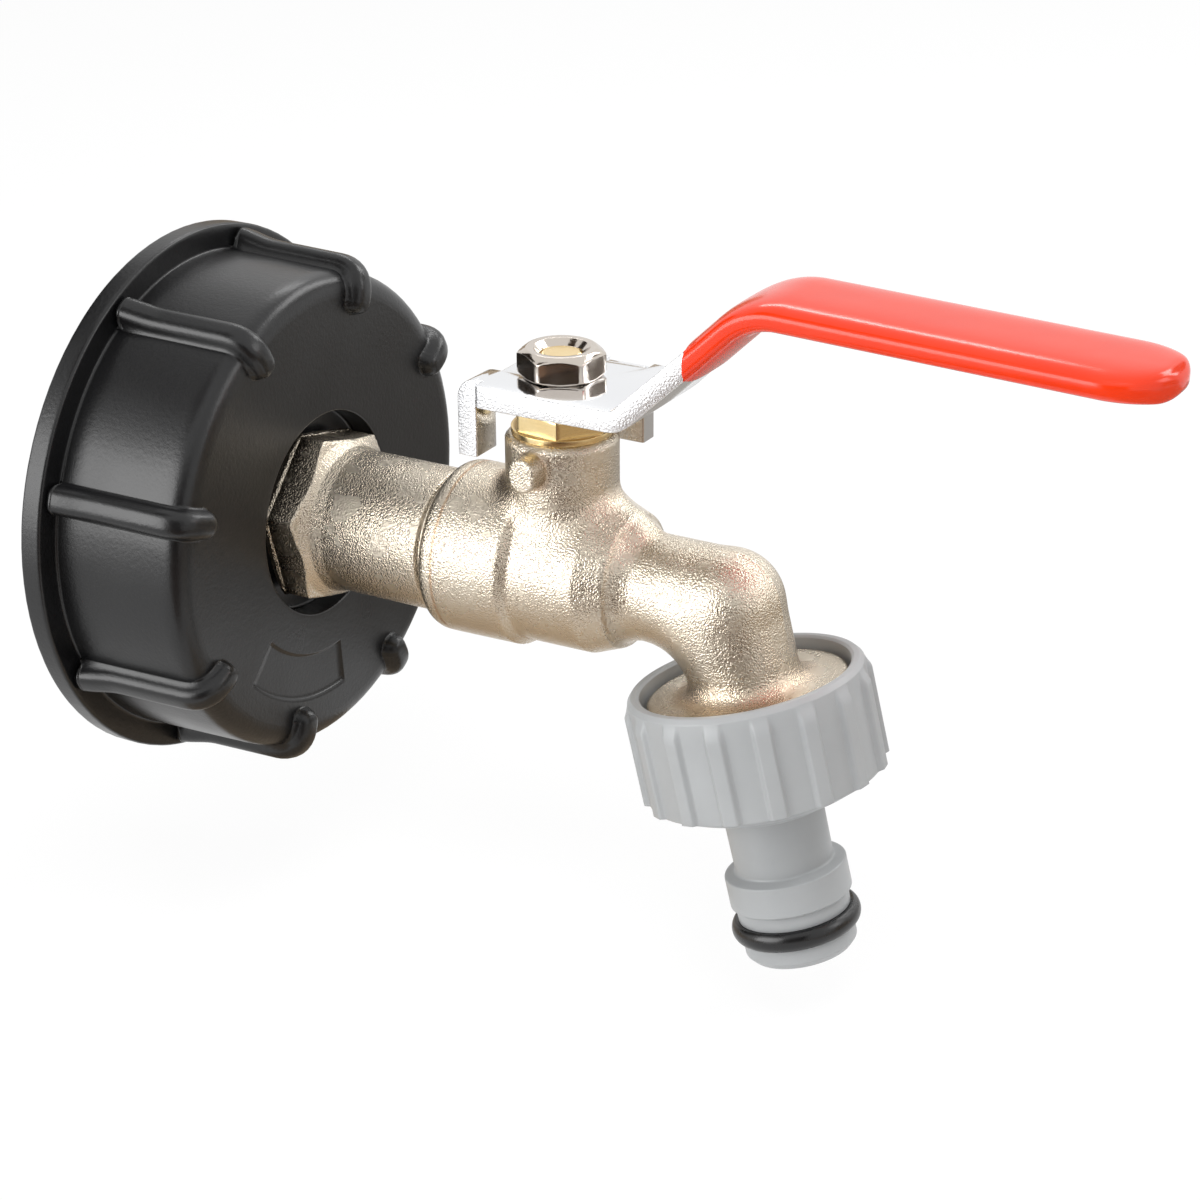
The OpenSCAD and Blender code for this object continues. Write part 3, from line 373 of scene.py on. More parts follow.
def outline_distance(a, b, corners):
    """Signed distance in a plane from points (a, b) to a closed outline, negative inside: the nearest
    edge gives the distance, and the number of edges crossed by a ray gives the side."""
    best = np.full(a.shape, 1e9)
    inside = np.zeros(a.shape, bool)
    for (x0, y0), (x1, y1) in zip(corners, corners[1:] + corners[:1]):
        ex, ey = x1 - x0, y1 - y0
        t = np.clip(((a - x0) * ex + (b - y0) * ey) / (ex * ex + ey * ey), 0, 1)
        best = np.minimum(best, np.hypot(a - x0 - t * ex, b - y0 - t * ey))
        if y0 != y1:
            inside ^= ((y0 > b) != (y1 > b)) & (a < (x1 - x0) * (b - y0) / (y1 - y0) + x0)
    return np.where(inside, -best, best)


def blend_union(first, second, reach):
    """Smooth minimum of two distances: a fillet of about the given reach where the shapes meet."""
    h = np.clip(0.5 + 0.5 * (second - first) / reach, 0, 1)
    return second * (1 - h) + first * h - reach * h * (1 - h)


def capsule(p, start, end, radius):
    """Distance to a round bar with ball ends: the distance to the nearest point of its middle line."""
    line = np.subtract(end, start)
    t = np.clip(((p - start) @ line) / (line @ line), 0, 1)
    return np.sqrt(((p - start - t[..., None] * line) ** 2).sum(-1)) - radius


def body_parts(p):
    """Distances to the forging's parts: turned ring with band and cone, neck, its two stop bosses, the
    lump at its foot, the run, the leg and the disc under the leg."""
    x, y, z = p[..., 0], p[..., 1], p[..., 2]
    ring = outline_distance(x, np.hypot(y, z), [
        (47.85, -5), (47.85, 11.0), (48.0, 11.5), (48.4, 11.9), (49.0, 12.12), (50.05, 12.15),
        (50.3, 11.95), (50.55, 12.15), (60.4, 12.0), (61.75, 10.95), (71.9, 10.85), (75.8, 9.4),
        (76.05, 8.85), (77.6, 7.2), (77.6, -5)]) - 0.25
    about_z = np.hypot(x - stem_x, y)
    neck = outline_distance(about_z, z, [
        (-1, 2), (neck_r, 2), (neck_r, neck_top - 0.5), (neck_r - 0.5, neck_top), (-1, neck_top)]) - 0.35
    away = np.hypot(x - stem_x, np.maximum(0, np.abs(z - boss_z) - 0.4)) - stop_r
    length = np.maximum(np.abs(y) - stop_reach, 2 - np.abs(y))
    bosses = np.hypot(np.maximum(away, 0), np.maximum(length, 0)) - 0.2
    bosses = bosses + np.minimum(np.maximum(away, length), 0)
    narrow = np.stack([x, np.maximum(np.abs(y) - 0.7, 0), z], -1)
    lump = capsule(narrow, (71.0, 0, 9.6), (76.8, 0, 7.4), 1.5)
    # the dies meet in the plane y = 0 and leave a low flash line round the outside of the bend
    flash = 0.2 * np.exp(-((y / 0.4) ** 2))
    flash = flash * smooth((p - corner) @ -inward, 1.0, 4.0) * smooth(x, 88.0, 94.0)
    run = capsule(p, (74.0, 0, corner[2]), corner, run_r) - flash
    tube = capsule(p, corner, corner + 11.0 * leg, leg_r) - flash
    down = (p - corner) @ leg
    beside = np.sqrt(np.maximum(((p - corner) ** 2).sum(-1) - down**2, 0))
    disc = outline_distance(down, beside, [
        (disc_top, -5), (disc_top, disc_r), (disc_end, disc_r), (disc_end, -5)]) - 0.3
    return ring, neck, bosses, lump, run, tube, disc


def body_bores(p):
    """Distance to the bored-out room: end piece's thread, ball chamber, stem holes and water way."""
    x, y, z = p[..., 0], p[..., 1], p[..., 2]
    chamber = outline_distance(x, np.hypot(y, z), [
        (40, -5), (40, socket_r), (end_front, socket_r), (end_front, chamber_r),
        (chamber_end, chamber_r), (chamber_end, -5)])
    about_z = np.hypot(x - stem_x, y)
    holes = outline_distance(about_z, z, [
        (-5, 0), (step_r, 0), (step_r, step_top), (stem_hole_r, step_top), (stem_hole_r, packing_floor),
        (packing_r, packing_floor), (packing_r, 25), (-5, 25)])
    run_way = capsule(p, (stem_x, 0, corner[2]), corner, run_bore_r)
    leg_way = capsule(p, corner, corner + 20 * leg, leg_bore_r)
    return np.minimum(np.minimum(chamber, holes), np.minimum(run_way, leg_way))


def body_skin(p):
    """The forging's outside: the parts joined with fillets of 1 to 5 mm, as a forging die leaves them.
    Run and leg meet in a crease outside the bend and in a wide hollow inside it."""
    ring, neck, bosses, lump, run, tube, disc = body_parts(p)
    spout = blend_union(run, tube, 0.6 + 5.0 * smooth((p - corner) @ inward, -1.0, 7.0))
    spout = blend_union(spout, disc, 3.2)
    shape = blend_union(ring, spout, 1.6)
    shape = blend_union(shape, neck, 2.6)
    shape = blend_union(shape, lump, 2.6)
    return blend_union(shape, bosses, 0.5)


def body_field(p):
    """The whole forging: its outside less its bores."""
    return np.maximum(body_skin(p), -body_bores(p))


def field_slope(field, points, unit=False):
    """Slope of a field at points: the difference between 0.01 mm ahead and 0.01 mm back, along each axis.
    It points out of the forging, and is made 1 long where unit is True."""
    slope = np.stack([(field(points + e) - field(points - e)) / 0.02 for e in np.eye(3) * 0.01], -1)
    return slope / np.linalg.norm(slope, axis=1, keepdims=True) if unit else slope


def surface_net(field, low, high, step):
    """Mesh of the zero level of a distance field. Each grid cell that the surface crosses gets the mean
    of its edge crossings as its point, four cells round a crossed edge make a face, and the points are
    then moved on to the surface along the field's slope."""
    axes = [np.arange(a, b + step, step) for a, b in zip(low, high)]
    value = field(np.stack(np.meshgrid(*axes, indexing="ij"), -1))
    inside = value < 0
    cells = tuple(n - 1 for n in value.shape)
    total, hits = np.zeros(cells + (3,)), np.zeros(cells)
    crossings = []
    for axis in range(3):
        others = [k for k in range(3) if k != axis]
        near = [slice(None)] * 3
        far = [slice(None)] * 3
        near[axis], far[axis] = slice(0, -1), slice(1, None)
        v0, v1 = value[tuple(near)], value[tuple(far)]
        cross = inside[tuple(near)] != inside[tuple(far)]
        t = np.where(cross, v0 / np.where(v0 == v1, 1, v0 - v1), 0)
        crossings.append((cross, inside[tuple(near)]))
        for s in [(0, 0), (0, 1), (1, 0), (1, 1)]:
            pick = [slice(None)] * 3
            for other, o in zip(others, s):
                pick[other] = slice(o, o + cells[other])
            crossed = cross[tuple(pick)]
            hits += crossed
            total[..., axis] += np.where(crossed, t[tuple(pick)], 0)
            for other, o in zip(others, s):
                total[..., other] += np.where(crossed, o, 0)
    used = hits > 0
    index = np.full(cells, -1)
    index[used] = np.arange(used.sum())
    where = np.argwhere(used)
    points = np.array(low) + step * (where + total[used] / hits[used][:, None])
    faces = []
    for axis, (cross, start_inside) in enumerate(crossings):
        others = [k for k in range(3) if k != axis]
        at = np.argwhere(cross)
        ok = np.all([(at[:, o] > 0) & (at[:, o] < cells[o]) for o in others], axis=0)
        at = at[ok]
        ring = []
        for s in [(0, 0), (1, 0), (1, 1), (0, 1)]:
            c = at.copy()
            c[:, others[0]] -= s[0]
            c[:, others[1]] -= s[1]
            ring.append(index[c[:, 0], c[:, 1], c[:, 2]])
        quad = np.stack(ring, 1)
        flip = start_inside[tuple(at.T)] == (axis != 1)
        quad[~flip] = quad[~flip][:, ::-1]
        faces.append(quad[(quad >= 0).all(1)])
    faces = np.concatenate(faces)
    for _ in range(5):
        slope = field_slope(field, points)
        points = points - (field(points) / np.maximum((slope**2).sum(-1), 0.05))[:, None] * slope * 0.9
    return points, faces


points, faces = surface_net(body_field, (46.8, -14.7, -17.9), (108.4, 14.7, 20.9), 0.36)
forging = bpy.data.meshes.new("valve_body_forging")
forging.from_pydata(mm(points), [], faces.tolist())
show("valve_body_forging", forging, "valve", ["valve_body"], forged_nickel)
# how hollow the surface is: the field 1 mm out falls short of that distance inside a fillet
hollow = smooth(1.0 - body_skin(points + field_slope(body_field, points, True)), 0.03, 0.4) * 0.5
# painted shade: the fine groove that the lathe left near the inlet end is too narrow for the mesh, so its
# shade is drawn as a dark coppery line
hollow = np.maximum(hollow, 0.9 * np.exp(-(((points[:, 0] - 50.22) / 0.18) ** 2)))
hollow_share = forging.attributes.new("hollow", "FLOAT", "POINT")
hollow_share.data.foreach_set("value", hollow.astype(np.float32))


def about_spout(s, r, angle):
    """Points at distance s along the spout's axis from the collar's rim, and radius r about it."""
    s, r, angle = np.broadcast_arrays(s, r, angle)
    across = np.array([-math.cos(spout_tilt), 0.0, -math.sin(spout_tilt)])
    side = np.array([0.0, 1.0, 0.0])
    return (rim + s[..., None] * leg + (r * np.cos(angle))[..., None] * across
            + (r * np.sin(angle))[..., None] * side)


# below the disc the spout is turned and has a right-hand pipe thread
screw_root_r, screw_bore_r, screw_start, screw_end, pipe_pitch = 12.05, 5.6, 3.45, 11.9, 1.814
male_start, male_end, male_depth, male_shift = 3.95, 11.4, 1.1, 4.4
columns = np.radians(np.arange(0, 360, 3.0))[None, :]
head = np.array([(screw_start, screw_bore_r), (screw_start, screw_root_r),
                 (male_start - 0.05, screw_root_r)])
screw = np.stack([np.linspace(male_start, male_end - 0.1, 60), np.full(60, screw_root_r)], 1)
end = rounded([(male_end, screw_root_r, 0), (screw_end, 11.6, 0.2), (screw_end, screw_bore_r, 0.4),
               (screw_start, screw_bore_r, 0)], 4)
foot = np.concatenate([head, screw, end[:-1]])
s, r = foot[:, :1], foot[:, 1:]
wave = ((s - male_shift - pipe_pitch * columns / (2 * math.pi)) / pipe_pitch) % 1.0
fade = smooth(s, male_start + 0.05, male_start + 0.85) * smooth(s, male_end, male_end - 0.5)
threading = male_depth * (1 - np.abs(2 * wave - 1)) * fade
grid_piece("spout_hose_thread", about_spout(s, r + threading * (r == screw_root_r), columns), "valve",
           ["valve_body"], turned_nickel)

# Seats and packing: PTFE rings, turned from rod, on both sides of the ball and round the stem.

# Virgin PTFE: waxy white, soft sheen.
ptfe, tree, shader, place = new_finish("turned_ptfe")
cloud = add(tree, "ShaderNodeTexNoise", Vector=place, Scale=1 / 0.002, Detail=2.0)
tint = add(tree, "ShaderNodeMix", {"data_type": "RGBA"}, Factor=cloud.outputs["Fac"],
           i6=linear("#E6E4DE"), i7=linear("#F1EFEA"))
tree.links.new(tint.outputs[2], shader.inputs["Base Color"])
shader.inputs["Roughness"].default_value = 0.38
shader.inputs["IOR"].default_value = 1.36
for node in ("inlet_seat", "outlet_seat", "stem_thrust_washer", "stem_packing"):
    dress(node, ptfe)

# Ball: brass, ground round and hard-chromed, with a slot on top for the stem's tang.

# Hard chrome: bright, neutral, nearly mirror-like.
chrome, tree, shader, place = new_finish("polished_chrome_plate")
haze = add(tree, "ShaderNodeTexNoise", Vector=place, Scale=1 / 0.004, Detail=3.0)
shine = add(tree, "ShaderNodeMapRange", Value=haze.outputs["Fac"], From_Min=0.3, From_Max=0.7,
            To_Min=0.07, To_Max=0.13)
tree.links.new(shine.outputs["Result"], shader.inputs["Roughness"])
scratch = add(tree, "ShaderNodeTexNoise", Vector=place, Scale=1 / 0.0008, Detail=4.0)
bump = add(tree, "ShaderNodeBump", Strength=0.04, Distance=0.00003, Height=scratch.outputs["Fac"])
tree.links.new(bump.outputs["Normal"], shader.inputs["Normal"])
shader.inputs["Base Color"].default_value = linear("#E4E5E8")
shader.inputs["Metallic"].default_value = 1.0
dress("ball", chrome)

# Stem, packing follower and gland nut: turned from brass bar, left bare. The gland nut screws into
# the neck and presses the packing, and its hexagon stands under the lever.

# Bare turned brass: clear yellow, with fine lathe rings 0.6 mm apart, the finest that still show.
brass, tree, shader, place = new_finish("bare_turned_brass")
cloud = add(tree, "ShaderNodeTexNoise", Vector=place, Scale=1 / 0.003, Detail=3.0)
tint = add(tree, "ShaderNodeMix", {"data_type": "RGBA"}, Factor=cloud.outputs["Fac"],
           i6=linear("#E4C68A"), i7=linear("#F0DBAC"))
# a wave texture's bands lie 2 pi / 20 apart at a scale of 1
rings = add(tree, "ShaderNodeTexWave", {"bands_direction": "Z"}, Vector=place,
            Scale=2 * math.pi / 20 / 0.0006, Distortion=0.5)
bump = add(tree, "ShaderNodeBump", Strength=0.2, Distance=0.00002, Height=rings.outputs["Fac"])
tree.links.new(tint.outputs[2], shader.inputs["Base Color"])
tree.links.new(bump.outputs["Normal"], shader.inputs["Normal"])
shader.inputs["Roughness"].default_value = 0.24
shader.inputs["Metallic"].default_value = 1.0
dress("stem", brass)
dress("packing_follower", brass)


def about_stem(z, r, angle):
    """Points at height z and radius r about the stem's axis."""
    z, r, angle = np.broadcast_arrays(z, r, angle)
    return np.stack([stem_x + r * np.cos(angle), r * np.sin(angle), z], -1)


gland_foot, gland_seat, gland_top, gland_thread_r, gland_bore_r = 16.72, 20.2, 24.5, 5.95, 4.05
gland_flange_r, gland_across, gland_corner, gland_turn = 7.1, 12.0, 6.85, -6
columns = hexagon_columns(gland_turn, 6, 7)
profile = dense(rounded([
    (gland_foot, 5.0, 0), (gland_foot, gland_thread_r, 0.2), (gland_seat, gland_thread_r, 0.05),
    (gland_seat, gland_flange_r, 0.2), (21.1, gland_flange_r, 0.25), (21.12, 6.95, 0.02),
    (23.4, 6.95, 0.02), (gland_top, 5.75, 0.15), (gland_top, gland_bore_r, 0.2),
    (gland_foot, gland_bore_r, 0.1), (gland_foot, 5.0, 0)], 4)[:-1], 1.0)
pz, pr = profile[:, :1], profile[:, 1:]
hexed = hexagon_radius(columns, gland_across, gland_corner, math.radians(gland_turn))
radius = np.where((pz > 21.11) & (pr > 5.9), np.minimum(pr, hexed), pr)
grid_piece("gland_nut_hexagon", about_stem(pz, radius, columns), "valve", ["gland_nut"],
           brass)

# Lever: blanked from 3 mm steel strip, cranked twice, its two stop tabs bent down, then chromed.
# The sheared edges stay rougher than the faces.

# Chrome over sheared steel: on the faces it is a mirror, and on the cut edges it covers a torn grain
# of a third of a millimetre that scatters the light and looks white.
plate_chrome, tree, shader, place = new_finish("chrome_on_sheared_steel")
torn = add(tree, "ShaderNodeAttribute", {"attribute_name": "sheared"})
grain = add(tree, "ShaderNodeTexNoise", Vector=place, Scale=1 / 0.0003, Detail=2.0)
waves = add(tree, "ShaderNodeTexNoise", Vector=place, Scale=1 / 0.007, Detail=1.0)
shine = add(tree, "ShaderNodeMapRange", Value=torn.outputs["Fac"], To_Min=0.1, To_Max=0.42)
bump = add(tree, "ShaderNodeBump", Strength=torn.outputs["Fac"], Distance=0.00012,
           Height=grain.outputs["Fac"])
bump = add(tree, "ShaderNodeBump", Strength=0.1, Distance=0.0002, Height=waves.outputs["Fac"],
           Normal=bump.outputs["Normal"])
tree.links.new(shine.outputs["Result"], shader.inputs["Roughness"])
tree.links.new(bump.outputs["Normal"], shader.inputs["Normal"])
shader.inputs["Base Color"].default_value = linear("#EDEEF0")
shader.inputs["Metallic"].default_value = 1.0

# a copy of the solid, its flat faces made whole again and its real edges rounded
edge_round, sharp_angle = 0.35, 32
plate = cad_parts["lever"].data.copy()
plate.name = "lever_plate"
work = bmesh.new()
work.from_mesh(plate)
bmesh.ops.remove_doubles(work, verts=work.verts, dist=2e-6)
bmesh.ops.dissolve_limit(work, angle_limit=math.radians(1.0), verts=work.verts, edges=work.edges)
work.to_mesh(plate)
work.free()
lever = show("lever_plate", plate, "lever_set", ["lever"], plate_chrome)
bevel = lever.modifiers.new("edge", "BEVEL")
bevel.width, bevel.segments, bevel.limit_method = edge_round * 0.001, 3, "ANGLE"
bevel.angle_limit = math.radians(sharp_angle)
bevel.harden_normals = True

# cut faces look sideways on plate, arm and rear tab, along the flow on the far tab, and down at tab ends
faces = plate.polygons
normal, middle = np.zeros((len(faces), 3)), np.zeros((len(faces), 3))
faces.foreach_get("normal", normal.ravel())
faces.foreach_get("center", middle.ravel())
side_tab_y, side_tab_top, tab_end_top, mostly = 0.0081, 0.0252, 0.0245, 0.7
on_side_tab = (middle[:, 1] > side_tab_y) & (middle[:, 2] < side_tab_top)
side_cut = np.where(on_side_tab, np.abs(normal[:, 0]), np.abs(normal[:, 1])) > mostly
end_cut = (normal[:, 2] < -mostly) & (middle[:, 2] < tab_end_top)
sheared = plate.attributes.new("sheared", "FLOAT", "FACE")
sheared.data.foreach_set("value", (side_cut | end_cut).astype(np.float32))

# Grip sleeve: the arm is dipped in liquid vinyl, which sets to a glossy skin about 0.7 mm thick, with
# rounded edges and a rounded lip at its mouth.

# Dipped vinyl: warm signal red, glossy, with slight slow waves and a thin clear coat.
vinyl, tree, shader, place = new_finish("dipped_red_vinyl")
waves = add(tree, "ShaderNodeTexNoise", Vector=place, Scale=1 / 0.009, Detail=2.0)
pores = add(tree, "ShaderNodeTexNoise", Vector=place, Scale=1 / 0.0007, Detail=2.0)
tint = add(tree, "ShaderNodeMix", {"data_type": "RGBA"}, Factor=waves.outputs["Fac"],
           i6=linear("#CC2B07"), i7=linear("#D6350F"))
bump = add(tree, "ShaderNodeBump", Strength=0.25, Distance=0.0003, Height=waves.outputs["Fac"])
bump = add(tree, "ShaderNodeBump", Strength=0.05, Distance=0.00005, Height=pores.outputs["Fac"],
           Normal=bump.outputs["Normal"])
tree.links.new(tint.outputs[2], shader.inputs["Base Color"])
tree.links.new(bump.outputs["Normal"], shader.inputs["Normal"])
shader.inputs["Roughness"].default_value = 0.17
shader.inputs["IOR"].default_value = 1.53
shader.inputs["Specular IOR Level"].default_value = 0.34
shader.inputs["Coat Weight"].default_value = 0.1
shader.inputs["Coat Roughness"].default_value = 0.12

rise, slope_down, lower_r, upper_r = math.radians(44), math.radians(1.9), 3.2, 10.6
rise_length, mouth_at, plate_front, mid_z = 19.0, 11.4, 12.6, 26.8
rise_x, rise_z = plate_front + lower_r * math.sin(rise), mid_z + lower_r * (1 - math.cos(rise))
mouth_x, mouth_z = rise_x + mouth_at * math.cos(rise), rise_z + mouth_at * math.sin(rise)
straight, bend = rise_length - mouth_at, upper_r * (rise + slope_down)
top_x = rise_x + rise_length * math.cos(rise) + upper_r * (math.sin(rise) + math.sin(slope_down))
grip_end, grip_half, grip_thick, lean_length, tip_length = 88.0, 8.53, 2.22, 5.0, 9.4


def grip_line(t):
    """Middle line of the grip in the lever's side view: along the rise, round the bend, then down the
    slope. t is the distance from the mouth in mm, and the line gives x, z and heading."""
    a = np.clip(t, 0, straight)
    heading = rise - np.clip(t - straight, 0, bend) / upper_r
    c = np.maximum(t - straight - bend, 0)
    bent_x, bent_z = math.sin(rise) - np.sin(heading), np.cos(heading) - math.cos(rise)
    x = mouth_x + a * math.cos(rise) + upper_r * bent_x + c * math.cos(slope_down)
    z = mouth_z + a * math.sin(rise) + upper_r * bent_z - c * math.sin(slope_down)
    return x, z, heading


def grip_points(t, across, lift):
    """Points beside and above the grip's middle line. Near the mouth each section leans until it is
    upright, because the dipped vinyl is cut off there along a vertical line."""
    x, z, heading = grip_line(t)
    lean = math.tan(rise) * np.clip(1 - (x - mouth_x) / lean_length, 0, 1)
    ahead, above = lean * np.cos(heading) - np.sin(heading), lean * np.sin(heading) + np.cos(heading)
    return np.stack([stem_x + x[:, None] + lift * ahead[:, None], across + 0 * lift,
                     z[:, None] + lift * above[:, None]], -1)


full_length = straight + bend + (grip_end - top_x) / math.cos(slope_down)
stations = np.concatenate([
    [0.0, 0.06, 0.15, 0.3, 0.5, 0.75, 1.0, 1.4, 2.0], np.linspace(2.8, straight + bend + 1, 30),
    np.linspace(straight + bend + 3, full_length - tip_length - 0.2, 18),
    full_length - tip_length * (1 - np.sin(np.linspace(0.04, math.pi / 2, 22)))])
ring = np.linspace(0, 2 * math.pi, 96, endpoint=False)
before_tip = np.maximum(0, stations - (full_length - grip_half))
half_w = np.sqrt(np.maximum(grip_half**2 - before_tip**2, 0))
before_end = np.maximum(0, stations - (full_length - grip_thick))
half_h = grip_thick * np.sqrt(np.maximum(1 - (before_end / grip_thick) ** 2, 0))
# the mouth is rounded over
lip_r = 0.3
lip = lip_r * (1 - np.sqrt(1 - (1 - np.clip(stations / lip_r, 0, 1)) ** 2))
half_w, half_h = half_w - lip, np.maximum(half_h - lip, 0)
# each section is a superellipse: an oval whose sides are flattened
flattening = 2 / 3.2
across = half_w[:, None] * np.sign(np.cos(ring)) * np.abs(np.cos(ring)) ** flattening
lift = half_h[:, None] * np.sign(np.sin(ring)) * np.abs(np.sin(ring)) ** flattening
skin = grip_points(stations, across, lift)
# the inside follows the plate, just clear of it, to a depth of 3 mm from the mouth: an oval cut off at
# the plate's width and thickness
depth = np.array([0.0, 1.0, 3.0])
in_w, in_h, overshoot = 7.82, 1.52, 1.4
square_across = in_w * np.clip(overshoot * np.cos(ring), -1, 1) + 0 * depth[:, None]
square_lift = in_h * np.clip(overshoot * np.sin(ring) * in_w / in_h, -1, 1) + 0 * depth[:, None]
pocket = grip_points(depth, square_across, square_lift)
shut = np.broadcast_to(pocket[-1].mean(0), pocket[-1:].shape)
tip = np.broadcast_to(skin[-1].mean(0), skin[-1:].shape)
grid_piece("dipped_grip_sleeve", np.concatenate([shut, pocket[::-1], skin, tip]), "lever_set",
           ["grip_sleeve"], vinyl, closed=False)

# Lever nut: a hexagon nut, cold-formed in steel, chamfered and nickel-plated. It clamps the lever on the
# stem, whose end shows in its hole.

# Bright nickel on cold-formed steel: greyer and warmer than the lever's chrome, with fine pits.
nut_nickel, tree, shader, place = new_finish("bright_nickel_on_steel")
pits = add(tree, "ShaderNodeTexNoise", Vector=place, Scale=1 / 0.0003, Detail=1.0)
haze = add(tree, "ShaderNodeTexNoise", Vector=place, Scale=1 / 0.003, Detail=2.0)
shine = add(tree, "ShaderNodeMapRange", Value=haze.outputs["Fac"], From_Min=0.3, From_Max=0.7,
            To_Min=0.1, To_Max=0.18)
bump = add(tree, "ShaderNodeBump", Strength=0.3, Distance=0.00003, Height=pits.outputs["Fac"])
tree.links.new(shine.outputs["Result"], shader.inputs["Roughness"])
tree.links.new(bump.outputs["Normal"], shader.inputs["Normal"])
shader.inputs["Base Color"].default_value = linear("#CFC6BC")
shader.inputs["Metallic"].default_value = 1.0

nut_foot, nut_top, nut_bore_r, nut_across, nut_corner, nut_turn = 28.3, 32.35, 3.05, 11.0, 6.2, -32
columns = hexagon_columns(nut_turn, 6, 7)
profile = dense(rounded([
    (nut_foot, 4.0, 0), (nut_foot, 5.2, 0.2), (nut_foot + 0.6, 6.35, 0.4), (nut_top - 1.05, 6.35, 0.5),
    (nut_top, 4.9, 0.5), (nut_top - 0.05, 3.95, 0.15), (nut_top - 0.95, nut_bore_r, 0.1),
    (nut_foot, nut_bore_r, 0.1), (nut_foot, 4.0, 0)], 5)[:-1], 0.4)
pz, pr = profile[:, :1], profile[:, 1:]
hexed = hexagon_radius(columns, nut_across, nut_corner, math.radians(nut_turn), soft=0.45)
# outside its hole the nut is the smaller of the domed profile and the hexagon, with a soft edge between
radius = np.where(pr > 4.5, blend_union(pr, hexed, 0.25), pr)
grid_piece("lever_hexagon_nut", about_stem(pz, radius, columns), "lever_set", ["lever_nut"],
           nut_nickel)

# Hose connector: one grey moulding with a ribbed collar that screws on the spout and a quick-connect
# nipple below it, with a groove near the nose for the O-ring.

# Moulded grey plastic (glass-filled polyamide look): light neutral grey, satin, faint flow marks.
grey, tree, shader, place = new_finish("moulded_grey_polyamide")
flow = add(tree, "ShaderNodeTexNoise", Vector=place, Scale=1 / 0.006, Detail=3.0)
fibre = add(tree, "ShaderNodeTexNoise", Vector=place, Scale=1 / 0.0006, Detail=3.0)
tint = add(tree, "ShaderNodeMix", {"data_type": "RGBA"}, Factor=flow.outputs["Fac"],
           i6=linear("#919394"), i7=linear("#9B9D9E"))
bump = add(tree, "ShaderNodeBump", Strength=0.12, Distance=0.00006, Height=fibre.outputs["Fac"])
tree.links.new(tint.outputs[2], shader.inputs["Base Color"])
tree.links.new(bump.outputs["Normal"], shader.inputs["Normal"])
shader.inputs["Roughness"].default_value = 0.42
shader.inputs["IOR"].default_value = 1.53

collar_r, collar_length, collar_mouth_r, collar_thread_r, collar_floor = 16.7, 15.4, 14.9, 13.35, 14.16
ring_start, ring_r, stalk_r, nose_r, nose_end, nose_bore_r = 28.2, 8.7, 7.0, 8.0, 41.8, 5.0
groove_start, groove_end, groove_r = 35.5, 38.1, 6.65
mouth_depth, relief_start, relief_r = 3.8, 11.8, 13.42
female_start, female_end, female_depth, female_shift = 4.4, 11.6, 1.05, 5.3
rib_count, collar_rib_height, collar_rib_start, collar_rib_half = 16, 0.75, 1.3, 1.5
rib_step = 360 / rib_count
# the columns lie close together across each rib, which stands in the middle of its sector
sector = np.concatenate([np.linspace(-rib_step / 2, -5.6, 4)[:-1], np.linspace(-5.6, 5.6, 19),
                         np.linspace(5.6, rib_step / 2, 4)[1:-1]])
columns = np.radians((sector + (np.arange(rib_count)[:, None] + 0.5) * rib_step).ravel())[None, :]
outer = dense(rounded([
    (mouth_depth, collar_mouth_r, 0), (0.3, collar_mouth_r, 0.2), (0.0, 15.3, 0.2), (0.0, 16.1, 0.3),
    (0.7, collar_r, 0.3), (collar_length, collar_r, 0.5), (collar_length + 1.4, 14.0, 1.2),
    (collar_length + 3.0, 9.9, 0.4), (collar_length + 3.5, 9.4, 0.3),
    (collar_length + 3.7, stalk_r + 0.1, 0.5), (ring_start - 0.1, stalk_r, 0.5),
    (ring_start + 0.4, ring_r, 0.3), (ring_start + 4.9, ring_r, 0.3), (ring_start + 5.2, 8.05, 0.15),
    (groove_start, nose_r, 0.1), (groove_start, groove_r, 0.1), (groove_end, groove_r, 0.1),
    (groove_end, nose_r, 0.1), (nose_end - 1.3, nose_r, 0.6), (nose_end - 0.3, 7.1, 0.5),
    (nose_end - 0.3, nose_bore_r, 0.3), (nose_end - 1.5, nose_bore_r, 0)], 5), 0.9)
inner = dense(rounded([
    (nose_end - 1.5, nose_bore_r, 0), (collar_floor, nose_bore_r, 0.3), (collar_floor, relief_r, 0.1),
    (relief_start + 0.1, relief_r, 0), (relief_start, collar_thread_r, 0)], 3), 2.0)[1:]
screw = np.stack([np.linspace(female_end, female_start, 58), np.full(58, collar_thread_r)], 1)
lead = np.array([(female_start - 0.3, collar_thread_r), (mouth_depth, 13.6)])
profile = np.concatenate([outer, inner, screw, lead])
s, r = profile[:, :1], profile[:, 1:]
half_step = math.radians(rib_step / 2)
turned = columns % (2 * half_step) - half_step
rib_ends = smooth(s, collar_rib_start, collar_rib_start + 0.9)
rib_ends = rib_ends * smooth(s, collar_length + 0.05, collar_length - 0.2) * (r > collar_r - 0.4)
ribs = collar_rib_height * smooth(np.abs(collar_r * turned), collar_rib_half, 0.9) * rib_ends
wave = ((s - female_shift - pipe_pitch * columns / (2 * math.pi)) / pipe_pitch) % 1.0
fade = smooth(s, female_start - 0.1, female_start + 0.7) * smooth(s, female_end - 0.2, female_end - 1.0)
threading = female_depth * (1 - np.abs(2 * wave - 1)) * fade * (np.abs(r - collar_thread_r) < 0.01)
grid_piece("hose_connector_moulding", about_spout(s, r + ribs - threading, columns), "connector",
           ["hose_connector"], grey)

# O-ring: black nitrile cord ring, greased, stretched into the groove near the nose.

